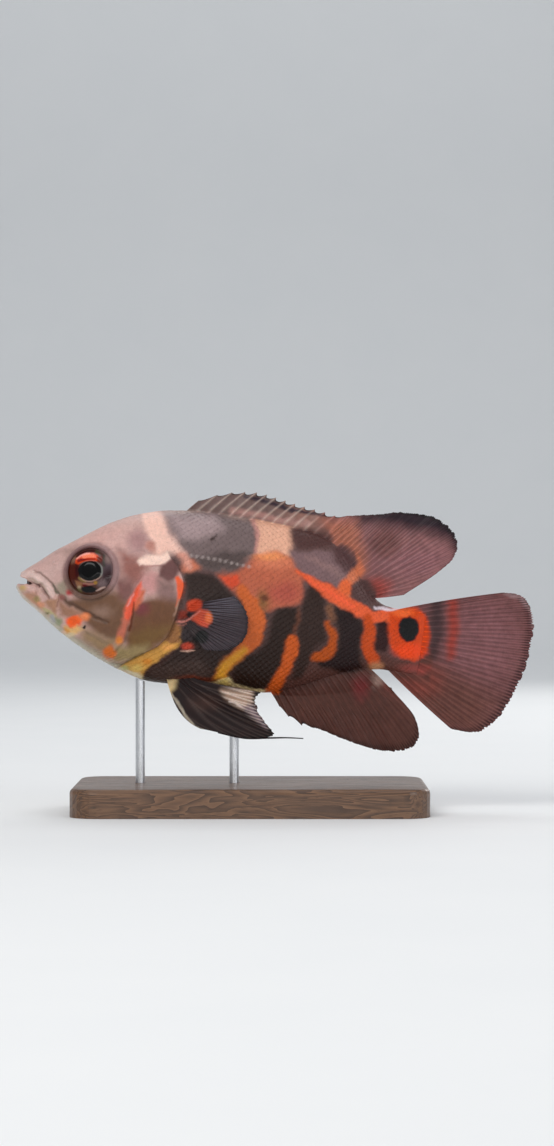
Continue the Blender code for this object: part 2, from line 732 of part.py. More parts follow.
def make_rod(name, along, clearance):
    """An upright rod from the base to the belly, cut to the belly's shape."""
    foot_x = NOSE_PLACE[0] + along * math.cos(NOSE_UP) + float(BELLY(along)) * math.sin(NOSE_UP)
    foot, top = BASE_HEIGHT - ROD_SINK, NOSE_PLACE[2] - 10
    turn = np.linspace(0, 2 * math.pi, 20, endpoint=False)
    ring = np.stack([
        foot_x + ROD_RADIUS * np.cos(turn), ROD_RADIUS * np.sin(turn), 0 * turn
    ], axis=1)
    rod = loft(name, np.array([ring + (0, 0, foot), ring + (0, 0, top)]))
    boolean(rod, "DIFFERENCE", clearance)
    socket_ring = (ring - (foot_x, 0, 0)) * (ROD_RADIUS + GAP) / ROD_RADIUS + (foot_x, 0, 0)
    socket = loft("socket", np.array([
        socket_ring + (0, 0, foot - GAP), socket_ring + (0, 0, BASE_HEIGHT + 5)
    ]))
    return rod, socket


def finish(made, colour, holder, rough=0.4):
    """Smooth shading, a plain material and the fish's holder as parent."""
    made.data.materials.clear()
    material = bpy.data.materials.get(colour) or bpy.data.materials.new(colour)
    material.use_nodes = True
    shader = material.node_tree.nodes["Principled BSDF"]
    shader.inputs["Base Color"].default_value = (*SOLID_COLOURS[colour], 1)
    shader.inputs["Roughness"].default_value = rough
    shader.inputs["Metallic"].default_value = 1.0 if colour == "stand_steel" else 0.0
    made.data.materials.append(material)
    made.data.shade_smooth()
    made.data.set_sharp_from_angle(angle=math.radians(35))
    made.parent = holder


def main():
    for old in list(bpy.data.objects):
        bpy.data.objects.remove(old)
    holder = bpy.data.objects.new("fish", None)
    bpy.context.scene.collection.objects.link(holder)
    holder.matrix_world = (
        Matrix.Translation(Vector(NOSE_PLACE) * MM) @ Matrix.Rotation(NOSE_UP, 4, "Y")
    )

    head_parts = make_head()
    torso, tail = make_trunk()
    eyes = [make_eye("eye_left", -1), make_eye("eye_right", 1)]

    stations = np.concatenate([np.arange(28.0, 124.0, 3.2), [BODY_END + GAP]])
    clearance = loft("clearance", body_rings(stations, 36, grow=GAP))
    fins = [
        make_dorsal(),
        make_anal(),
        make_caudal(),
        make_pectoral("pectoral_fin_left", -1),
        make_pectoral("pectoral_fin_right", 1),
        make_pelvic("pelvic_fin_left", -1, PELVIC_TIPS_LEFT, filament=True),
        make_pelvic("pelvic_fin_right", 1, PELVIC_TIPS_RIGHT, filament=False),
    ]
    for made in fins:
        boolean(made, "DIFFERENCE", clearance)

    for made in head_parts:
        finish(made, "skin_head", holder)
    for made in (torso, tail):
        finish(made, "skin_body", holder)
    for made in fins:
        finish(made, "fin", holder)
    for made in eyes:
        finish(made, "eye", holder, rough=0.15)

    clearance.parent = holder
    base = make_base()
    for name, along in ROD_PLACES.items():
        rod, socket = make_rod(name, along, clearance)
        boolean(base, "DIFFERENCE", socket)
        remove(socket)
        finish(rod, "stand_steel", None, rough=0.3)
    finish(base, "stand_wood", None, rough=0.5)
    remove(clearance)


main()
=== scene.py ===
import math

import bmesh
import bpy
import numpy as np
from mathutils import Matrix, Vector
from mathutils.bvhtree import BVHTree


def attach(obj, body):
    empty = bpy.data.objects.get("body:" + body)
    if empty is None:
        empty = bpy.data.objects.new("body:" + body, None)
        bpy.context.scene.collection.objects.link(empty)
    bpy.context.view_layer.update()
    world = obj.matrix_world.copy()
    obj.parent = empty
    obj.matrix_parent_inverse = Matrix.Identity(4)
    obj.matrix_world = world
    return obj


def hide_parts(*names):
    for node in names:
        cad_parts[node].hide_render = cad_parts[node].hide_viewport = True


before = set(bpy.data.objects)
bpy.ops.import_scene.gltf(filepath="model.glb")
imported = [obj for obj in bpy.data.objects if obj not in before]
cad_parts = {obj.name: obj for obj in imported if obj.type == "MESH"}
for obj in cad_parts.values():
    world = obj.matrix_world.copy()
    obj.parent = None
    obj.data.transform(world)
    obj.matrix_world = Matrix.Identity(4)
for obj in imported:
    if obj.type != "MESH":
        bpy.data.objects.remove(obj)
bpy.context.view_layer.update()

# Lengths are millimetres in the fish's own frame: x from the front of the mouth to the tail,
# y to the fish's right and z up, with the fish level. Photo places are pixels of its frame.
MM = 0.001
NOSE_UP = math.radians(8.5)
NOSE_PLACE = (-74.0, 0.0, 72.5)
PHOTO_SIZE = (554, 1146)
PHOTO_NOSE = (18.0, 583.0)
MM_PER_PIXEL = 0.3182
CAMERA_DISTANCE = 0.95

TO_WORLD = Matrix.Translation(Vector(NOSE_PLACE) * MM) @ Matrix.Rotation(NOSE_UP, 4, "Y")


def curve(points):
    """A smooth curve through points in rising order of their first value, with no overshoot."""
    at, height = np.array(points, float).T
    step = np.diff(at)
    slope = np.diff(height) / step
    tangent = np.zeros(len(at))
    before, after = 2 * step[1:] + step[:-1], step[1:] + 2 * step[:-1]
    same_way = slope[:-1] * slope[1:] > 0
    safe = np.where(same_way, slope[:-1] * slope[1:], 1.0)
    mean = (before + after) * safe / (before * slope[1:] + after * slope[:-1] + 1e-12 * ~same_way)
    tangent[1:-1] = np.where(same_way, mean, 0.0)
    tangent[0], tangent[-1] = slope[0], slope[-1]

    def value(x):
        x = np.clip(x, at[0], at[-1])
        i = np.clip(np.searchsorted(at, x) - 1, 0, len(step) - 1)
        t = (x - at[i]) / step[i]
        rise = (3 - 2 * t) * t * t
        return (
            height[i] * (1 - rise)
            + height[i + 1] * rise
            + step[i] * t * (1 - t) * (tangent[i] * (1 - t) - tangent[i + 1] * t)
        )

    return value


def path(points):
    """A smooth path: each point is its place along the path, from 0 to 1, then x and z."""
    along = [p[0] for p in points]
    x = curve(list(zip(along, [p[1] for p in points])))
    z = curve(list(zip(along, [p[2] for p in points])))
    return lambda t: np.stack([x(t), z(t)], axis=-1)


def ease(value, low, high):
    """0 up to low, 1 from high on, smooth between; high may be the smaller one."""
    t = np.clip((value - low) / (high - low), 0, 1)
    return t * t * (3 - 2 * t)


def bump(value, centre, width):
    """A smooth hill of height 1."""
    return np.exp(-(((value - centre) / width) ** 2))


BACK = curve([
    (0, 0.8), (0.6, 3.0), (1.7, 4.5), (3.2, 5.8), (5.9, 8.1), (8.7, 10.6), (11.5, 12.9),
    (14.5, 15.0), (20.3, 19.2), (26.1, 23.1), (32.1, 26.1), (38.3, 28.3), (44.5, 29.8),
    (52, 30.8), (66, 30.9), (80, 30.4), (91, 29.4), (99.5, 26.2), (105, 21.6), (109.5, 15.9),
    (113, 11.9), (117, 10.0), (121, 9.6), (125, 9.7), (130, 9.2),
])
BELLY = curve([
    (0, -1.6), (0.8, -3.1), (2.0, -4.4), (4.1, -5.8), (7, -7.6), (12, -11.1), (15.6, -13.5),
    (19, -15.4), (26, -18.8), (33, -21.6), (40, -23.8), (46.5, -24.9), (54, -24.5),
    (62, -23.5), (72, -23.1), (80, -23.2), (84.5, -22.7), (91, -20.6), (100, -16.5),
    (109, -12.6), (114, -11.0), (119, -10.2), (125, -10.3), (130, -10.0),
])
HALF_WIDTH = curve([
    (0, 1.8), (0.7, 3.3), (2, 4.5), (4.5, 5.7), (8, 6.8), (14, 8.5), (22, 10.6), (30, 12.1),
    (40, 13.0), (50, 13.0), (62, 12.3), (75, 10.8), (90, 8.2), (100, 6.3), (108, 4.9),
    (115, 3.9), (121, 2.9), (125, 1.7), (130, 0.35),
])
WIDEST = curve([
    (0, -0.4), (10, 0.5), (22, 3.4), (35, 3.0), (50, 2.5), (75, 2.5), (100, 1.0),
    (115, -0.3), (130, -0.3),
])
FULLNESS = 0.9
BODY_END = 130.0

GILL_EDGE = curve([
    (-30, 32.0), (-24, 34.0), (-21.5, 36.0), (-19.0, 39.0), (-15.7, 43.6), (-12.5, 47.9),
    (-8.2, 50.6), (-3.9, 51.6), (2.0, 52.4), (6.6, 52.9), (12.3, 50.3), (16, 46.8),
    (20, 45.3), (35, 44.0),
])
GILL_SWELL = 0.9

EYE_PLACE = (23.0, 7.2)
EYE_RADIUS = 8.6
EYE_DEPTH = 3.2
EYE_STANDS_OUT = 1.3
PUPIL_RADIUS = 3.8
PUPIL_BULGE = 0.5
ORBIT_RADIUS = 8.1
ORBIT_RIM = 0.8
NOSTRIL_PLACE = (11.3, 8.2)
NOSTRIL_RADIUS = 0.4

MOUTH_LINE = curve([
    (-1, 0.9), (0.6, 0.87), (2.1, 0.72), (3.15, 0.48), (6.4, 0.0), (7.9, -1.2), (10.8, -3.7),
    (11.8, -4.5),
])
UPPER_LIP_LINE = curve([
    (-1, 2.75), (0.6, 2.75), (2.8, 2.75), (5.4, 2.2), (7.6, 1.0), (9.7, -0.5), (13.2, -3.1),
])
LOWER_LIP_LINE = curve([(-1, -1.2), (2, -1.2), (4.6, -1.5), (6.4, -2.1), (7.6, -3.6), (9, -5.5)])
UPPER_LIP = {"line": UPPER_LIP_LINE, "corner": 13.0, "high": 1.3, "out": 1.2, "back": 1.75}
LOWER_LIP = {"line": LOWER_LIP_LINE, "corner": 7.8, "high": 1.3, "out": 1.3, "back": 1.15}
LIP_SINK = 0.45
MOUTH_DEPTH = 3.0
MOUTH_GAPE = 0.82
MOUTH_OPEN_TO = 3.0
# How far the mouth's cutter reaches out past the lips and in under the skin.
MOUTH_CUT_OUT, MOUTH_CUT_IN = 2.6, 1.0

SKIN_VOXEL = 0.29
SKIN_INSET = 0.1

SPINE_COUNT = 13
SPINE_LEAN = math.radians(50)
SPINE_ROOTS = (49.8, 91.0)
SPINE_LENGTH = curve([
    (0, 5.0), (0.1, 8.6), (0.2, 10.6), (0.35, 11.6), (0.5, 10.7), (0.75, 9.4), (1, 8.8),
])
FIN_SINK = 2.2
SOFT_DORSAL_COUNT = 20
SOFT_DORSAL_ROOTS = path([
    (0, 94.2, 28.7), (0.25, 100.7, 25.4), (0.5, 105.8, 20.6), (0.75, 109.6, 15.8),
    (1, 112.6, 12.0),
])
SOFT_DORSAL_TIPS = path([
    (0, 101.0, 36.8), (0.2, 110.0, 38.7), (0.4, 118.5, 40.6), (0.55, 126.0, 40.9),
    (0.68, 132.5, 38.5), (0.78, 136.4, 34.4), (0.86, 136.9, 30.0), (0.92, 133.8, 25.2),
    (1, 122.0, 14.4),
])
ANAL_COUNT = 18
ANAL_ROOTS = (84.8, 115.3)
ANAL_TIPS = path([
    (0, 88.2, -26.6), (0.06, 91.5, -29.4), (0.12, 96.2, -31.6), (0.2, 101.0, -31.9),
    (0.35, 108.6, -33.7), (0.5, 115.5, -35.1), (0.62, 121.8, -35.9), (0.74, 128.0, -35.1),
    (0.82, 132.0, -33.3), (0.88, 133.6, -29.6), (0.93, 131.6, -24.2), (1, 121.6, -15.2),
])
ANAL_SPINES = 3
CAUDAL_COUNT = 18
CAUDAL_ROOTS = path([(0, 119.0, 8.9), (0.5, 120.5, 0.0), (1, 117.4, -7.6)])
CAUDAL_TIPS = path([
    (0, 153.6, 20.0), (0.08, 158.6, 20.1), (0.17, 162.4, 16.9), (0.3, 164.8, 10.5),
    (0.5, 164.3, -0.8), (0.68, 161.2, -12.7), (0.8, 157.0, -21.0), (0.92, 150.2, -25.9),
    (1, 143.4, -25.7),
])
PECTORAL_COUNT = 14
PECTORAL_ROOTS = path([(0, 55.6, 1.5), (1, 54.8, -4.8)])
PECTORAL_TIPS = path([
    (0, 69.0, 6.2), (0.15, 72.2, 3.6), (0.32, 74.4, 0.0), (0.5, 74.9, -3.6), (0.66, 73.9, -7.0),
    (0.8, 71.0, -10.0), (0.9, 67.0, -11.6), (1, 62.2, -11.9),
])
PECTORAL_FLARE = 0.3
PECTORAL_SINK = 1.3
PELVIC_ROOTS = path([(0, 51.2, -24.2), (1, 58.4, -23.6)])
PELVIC_HALF_GAP = 3.4
PELVIC_ROOT_UP, PELVIC_ROOT_SPLAY = 2.0, 0.8
# How far out the first ray's tip stands past its root, and the last one's past that.
PELVIC_TIP_OUT, PELVIC_TIP_SPLAY = 3.6, 2.6
PELVIC_TIPS_LEFT = path([
    (0, 64.5, -36.9), (0.2, 79.5, -37.6), (0.4, 88.0, -35.5), (0.6, 83.8, -31.0),
    (0.8, 80.6, -26.6), (1, 81.9, -22.6),
])
PELVIC_TIPS_RIGHT = path([
    (0, 63.6, -36.9), (0.2, 74.0, -38.2), (0.4, 80.0, -35.8), (0.6, 82.0, -32.0),
    (0.8, 81.5, -28.2), (1, 79.4, -25.4),
])
PELVIC_COUNT = 6
FILAMENT = [(70.0, -37.1), (78.0, -37.7), (86.0, -36.6), (91.5, -35.7), (97.0, -35.1)]
FILAMENT_RADIUS = 0.4

SCALE_ROW = 2.15
SCALE_STEP = 2.25
SCALE_THICK = 0.05
SCALE_ROOT = 0.05
SCALE_FROM, SCALE_TO = 32.0, 126.0
# A scale's length and width against its lattice, and the share of it that lies before its root.
SCALE_LONG, SCALE_BROAD, SCALE_AHEAD = 1.75, 1.3, 0.28
SCALE_GRID = (6, 7)
# How far a scale's free edge stands over the line of its root.
SCALE_RISE = SCALE_ROOT + 0.35 * SKIN_INSET
# The light that the gloss adds to every colour, taken off the paint beforehand.
GLOSS_LIGHT = 0.007
IRIS_FIBRES = 54
STAGE_HALF_WIDTH, STAGE_FRONT, STAGE_BEND, STAGE_TOP = 3.0, -2.2, 1.8, 2.6
STAGE_ROUNDING = 0.5
LIGHTS = {
    # Place and aim in metres, size, power and colour.
    "key": ((-0.45, -0.75, 0.75), (0.0, 0.0, 0.07), (0.7, 0.5), 5.6, (1.0, 0.98, 0.95)),
    "fill": ((0.85, -0.55, 0.35), (0.0, 0.0, 0.07), (0.6, 0.6), 2.6, (0.94, 0.97, 1.0)),
    "top": ((0.05, 0.25, 0.95), (0.0, 0.0, 0.07), (0.8, 0.8), 2.6, (1.0, 1.0, 1.0)),
    "rim": ((0.5, 0.8, 0.45), (0.0, 0.0, 0.07), (0.5, 0.5), 2.2, (1.0, 0.99, 0.97)),
    "low": ((0.05, -1.05, 0.07), (0.0, 0.0, 0.07), (1.0, 0.1), 1.0, (1.0, 0.98, 0.96)),
    "backdrop": ((0.0, 1.3, 1.9), (0.0, 2.3, 0.25), (1.8, 0.4), 9.0, (0.97, 0.99, 1.0)),
}
WORLD_COLOUR, WORLD_STRENGTH = (0.86, 0.9, 0.95, 1), 0.38


def to_photo(points):
    """The photo's pixel places of points of the fish, as the camera sees them."""
    x, z = points[:, 0], points[:, 2]
    across = x * math.cos(NOSE_UP) + z * math.sin(NOSE_UP)
    up = z * math.cos(NOSE_UP) - x * math.sin(NOSE_UP)
    nearer = CAMERA_DISTANCE / (CAMERA_DISTANCE - np.abs(points[:, 1]) * MM)
    middle = PHOTO_SIZE[0] / 2, PHOTO_SIZE[1] / 2
    px = PHOTO_NOSE[0] + across / MM_PER_PIXEL - middle[0]
    py = PHOTO_NOSE[1] - up / MM_PER_PIXEL - middle[1]
    return middle[0] + nearer * px, middle[1] + nearer * py


def noise(points, size, seed):
    """Smooth noise from about -1 to 1 over points, in cells of the given size."""
    at = points / size + 31.7 * seed
    cell = np.floor(at).astype(np.int64)
    part = at - cell
    part = part * part * (3 - 2 * part)
    total = np.zeros(len(points))
    for corner in np.ndindex(2, 2, 2):
        key = (cell + corner) * np.array([73856093, 19349663, 83492791])
        mixed = key[:, 0] ^ key[:, 1] ^ key[:, 2] ^ (seed * 26544357)
        mixed = ((mixed ^ (mixed >> 13)) * 1274126177) & 0x7FFFFFFF
        mixed = ((mixed ^ (mixed >> 15)) * 73244475) & 0xFFFF
        total += (mixed / 32767.5 - 1) * np.prod(np.where(corner, part, 1 - part), axis=1)
    return total


def half_width_at(x, z):
    """Half the body's width at a point of its side view."""
    centre = WIDEST(x)
    reach = np.where(z > centre, BACK(x) - centre, centre - BELLY(x))
    high = np.clip(np.abs(z - centre) / reach, 0, 1) ** (1 / FULLNESS)
    return HALF_WIDTH(x) * np.sqrt(1 - high * high) ** FULLNESS


def body_section(x, turn):
    """Half widths and heights of the tall, narrow section at x, at angles round it."""
    cos, sin = np.cos(turn), np.sin(turn)
    centre = WIDEST(x)
    reach = np.where(sin > 0, BACK(x) - centre, centre - BELLY(x))
    z = centre + reach * np.sign(sin) * np.abs(sin) ** FULLNESS
    return HALF_WIDTH(x) * np.sign(cos) * np.abs(cos) ** FULLNESS, z


def body_rings(stations, around):
    """Rings of points round the body, evenly spread on its section."""
    turn = np.linspace(0, 2 * math.pi, around, endpoint=False)
    turn = turn + 0.28 * np.sin(2 * turn)
    return np.array([
        np.stack([np.full(around, x), *body_section(x, turn)], axis=1) for x in stations
    ])


def surface_point(x, z, side, sink=0.0):
    return np.array([x, side * (half_width_at(x, z) - sink), z])


def surface_normal(x, z, side):
    step = 0.5
    along = surface_point(x + step, z, side) - surface_point(x - step, z, side)
    up = surface_point(x, z + step, side) - surface_point(x, z - step, side)
    normal = np.cross(along, up)
    normal /= np.linalg.norm(normal)
    return normal * math.copysign(1, normal[1] * side)


TURN = np.array(TO_WORLD.to_3x3())


def in_world(points):
    """Points of the fish frame, in metres of the shared frame."""
    return points * MM @ TURN.T + np.array(TO_WORLD.translation)


def in_fish(world):
    """Points in metres of the shared frame, in the fish frame."""
    return (world - np.array(TO_WORLD.translation)) @ TURN / MM


def mesh_from(name, points, faces):
    """A smooth mesh object of points already in metres and faces of equal corner count."""
    faces = np.asarray(faces, np.int32)
    mesh = bpy.data.meshes.new(name)
    mesh.vertices.add(len(points))
    mesh.vertices.foreach_set("co", np.asarray(points, np.float32).ravel())
    mesh.loops.add(faces.size)
    mesh.loops.foreach_set("vertex_index", faces.ravel())
    mesh.polygons.add(len(faces))
    mesh.polygons.foreach_set("loop_start", np.arange(0, faces.size, faces.shape[1]))
    mesh.update(calc_edges=True)
    mesh.shade_smooth()
    made = bpy.data.objects.new(name, mesh)
    bpy.context.scene.collection.objects.link(made)
    return made


def fish_mesh(name, points, faces):
    return mesh_from(name, in_world(points), faces)


def set_colour(made, colours):
    """Stores linear colours, one a point, as the paint that the materials read."""
    layer = made.data.color_attributes.new("paint", "FLOAT_COLOR", "POINT")
    rgba = np.ones((len(colours), 4), np.float32)
    rgba[:, :3] = np.clip(colours - GLOSS_LIGHT, 0.002, 1)
    layer.data.foreach_set("color", rgba.ravel())


def linear(colour):
    """A colour of 0 to 255 as the eye grades it, made linear."""
    return (np.array(colour, float) / 255) ** 2.2


def plain(tone, points):
    """One colour of 0 to 255 for all points."""
    return linear(tone) * np.ones((len(points), 3))


def blend(first, second, share):
    """Colours between two sets, by each point's share of the second."""
    return first * (1 - share[:, None]) + second * share[:, None]


def laid(colour, tone, share):
    """A tone of 0 to 255 laid over colours, by each point's share of it."""
    return blend(colour, linear(tone), share)


def closed_loft(rings):
    """Points and triangles of a closed skin over rings of equal count."""
    count, around = rings.shape[:2]
    points = np.concatenate([rings.reshape(-1, 3), rings[[0, -1]].mean(axis=1)])
    i, j = np.meshgrid(np.arange(count - 1), np.arange(around), indexing="ij")
    a, b = (i * around + j).ravel(), (i * around + (j + 1) % around).ravel()
    faces = [np.stack([a, b, b + around], axis=1), np.stack([a, b + around, a + around], axis=1)]
    j = np.arange(around)
    k, last = (j + 1) % around, (count - 1) * around
    faces.append(np.stack([k, j, np.full(around, count * around)], axis=1))
    faces.append(np.stack([last + j, last + k, np.full(around, count * around + 1)], axis=1))
    return points, np.concatenate(faces)


def turned_out(made):
    """Turns an object's faces outwards."""
    work = bmesh.new()
    work.from_mesh(made.data)
    bmesh.ops.recalc_face_normals(work, faces=work.faces)
    if work.calc_volume(signed=True) < 0:
        bmesh.ops.reverse_faces(work, faces=work.faces)
    work.to_mesh(made.data)
    work.free()
    return made


def loft(name, rings):
    return turned_out(fish_mesh(name, *closed_loft(np.asarray(rings))))


def pebble(name, centre, axis, radius, depth, rings=22, around=48):
    """A flattened ball about an axis."""
    turn = np.array(Vector(axis).to_track_quat("Z", "Y").to_matrix())
    sections = []
    for polar in np.linspace(0, math.pi, rings + 2)[1:-1]:
        angle = np.linspace(0, 2 * math.pi, around, endpoint=False)
        across = radius * math.sin(polar)
        local = np.stack([
            across * np.cos(angle), across * np.sin(angle), np.full(around, depth * math.cos(polar))
        ], axis=1)
        sections.append(centre + local @ turn.T)
    return loft(name, sections)


def ring(name, centre, axis, radius, thickness, around=64, section=16, flat=1.0):
    """A ring of round section about an axis."""
    turn = np.array(Vector(axis).to_track_quat("Z", "Y").to_matrix())
    a, b = np.meshgrid(
        np.linspace(0, 2 * math.pi, around, endpoint=False),
        np.linspace(0, 2 * math.pi, section, endpoint=False), indexing="ij",
    )
    across = radius + thickness * np.cos(b)
    height = flat * thickness * np.sin(b)
    local = np.stack([across * np.cos(a), across * np.sin(a), height], axis=-1)
    i, j = np.meshgrid(np.arange(around), np.arange(section), indexing="ij")
    k, m = (i + 1) % around, (j + 1) % section
    quads = np.stack([i * section + j, k * section + j, k * section + m, i * section + m], axis=-1)
    return turned_out(fish_mesh(name, centre + local.reshape(-1, 3) @ turn.T, quads.reshape(-1, 4)))


def mouth_path(count, line, corner, sink=LIP_SINK, back=0.0):
    """Points round the mouth from the right corner, past the front, to the left corner."""
    x = corner * np.linspace(1, 0, 90) ** 2
    z = line(x)
    y = half_width_at(np.maximum(x, 0.05), z) - sink
    right = np.stack([x + back * (1 - x / corner) ** 2, y, z], axis=1)
    left = right[::-1] * (1, -1, 1)
    whole = np.concatenate([right, [[back - 0.25, 0, z[-1]]], left])
    along = np.concatenate([[0], np.cumsum(np.linalg.norm(np.diff(whole, axis=0), axis=1))])
    at = np.linspace(0, along[-1], count)
    return np.stack([np.interp(at, along, whole[:, k]) for k in range(3)], axis=1)


def lip(name, line, corner, high, out, back, count=91, around=22):
    """A lip: a soft tube that follows the mouth and thins towards both corners."""
    points = mouth_path(count, line, corner, back=back)
    taper = 0.5 + 0.5 * (1 - np.abs(np.linspace(-1, 1, count)) ** 4)
    ways = np.gradient(points, axis=0)
    turn = np.linspace(0, 2 * math.pi, around, endpoint=False)
    rings = []
    for point, way, size in zip(points, ways, taper):
        flat = np.array([way[0], way[1], 0.0]) / math.hypot(way[0], way[1])
        outward = np.cross((0, 0, 1), flat)
        sweep = np.cos(turn)[:, None] * out * outward
        sweep = sweep + np.sin(turn)[:, None] * high * np.array([0, 0, 1])
        rings.append(point + size * sweep)
    return loft(name, rings)


def mouth_blade(count=81):
    """The cutter of the mouth's opening, widest at the front."""
    outer = mouth_path(count, MOUTH_LINE, MOUTH_OPEN_TO, sink=-MOUTH_CUT_OUT)
    inner = mouth_path(count, MOUTH_LINE, MOUTH_OPEN_TO, sink=MOUTH_CUT_IN)
    inner[:, 0] += MOUTH_DEPTH
    gape = 0.05 + MOUTH_GAPE * np.clip((3.15 - outer[:, 0]) / 2.5, 0, 1.3)
    half = gape[:, None] * np.array([0, 0, 1])
    corners = [outer - half, outer + half, inner + half, inner - half]
    return loft("mouth_blade", np.stack(corners, axis=1))


def boolean(made, operation, others):
    for other in others:
        modifier = made.modifiers.new(operation.lower(), "BOOLEAN")
        modifier.operation = operation
        modifier.object = other
        modifier.solver = "MANIFOLD"
        apply_modifiers(made)
        bpy.data.objects.remove(other)


def apply_modifiers(made):
    bpy.context.view_layer.update()
    graph = bpy.context.evaluated_depsgraph_get()
    mesh = bpy.data.meshes.new_from_object(made.evaluated_get(graph))
    made.modifiers.clear()
    made.data = mesh


def eye_frame(side):
    """The middle of an eyeball and the way it looks."""
    axis = surface_normal(*EYE_PLACE, side)
    return surface_point(*EYE_PLACE, side) + (EYE_STANDS_OUT - EYE_DEPTH) * axis, axis


def line_distance(x, z, points, halves=None):
    """Distance to a broken line, less its half width there when halves are given."""
    best = np.full(len(x), 1e9)
    for i, ((ax, az), (bx, bz)) in enumerate(zip(points, points[1:])):
        dx, dz = bx - ax, bz - az
        t = np.clip(((x - ax) * dx + (z - az) * dz) / (dx * dx + dz * dz), 0, 1)
        gap = np.hypot(x - ax - t * dx, z - az - t * dz)
        if halves is not None:
            gap = gap - (halves[i] * (1 - t) + halves[i + 1] * t)
        best = np.minimum(best, gap)
    return best


def area_distance(x, z, corners):
    """Signed distance to an outline, negative inside."""
    gap = line_distance(x, z, [*corners, corners[0]])
    inside = np.zeros(len(x), bool)
    for (ax, az), (bx, bz) in zip(corners, [*corners[1:], corners[0]]):
        if az == bz:
            continue
        crosses = (az > z) != (bz > z)
        inside ^= crosses & (x < (bx - ax) * (z - az) / (bz - az) + ax)
    return np.where(inside, -gap, gap)


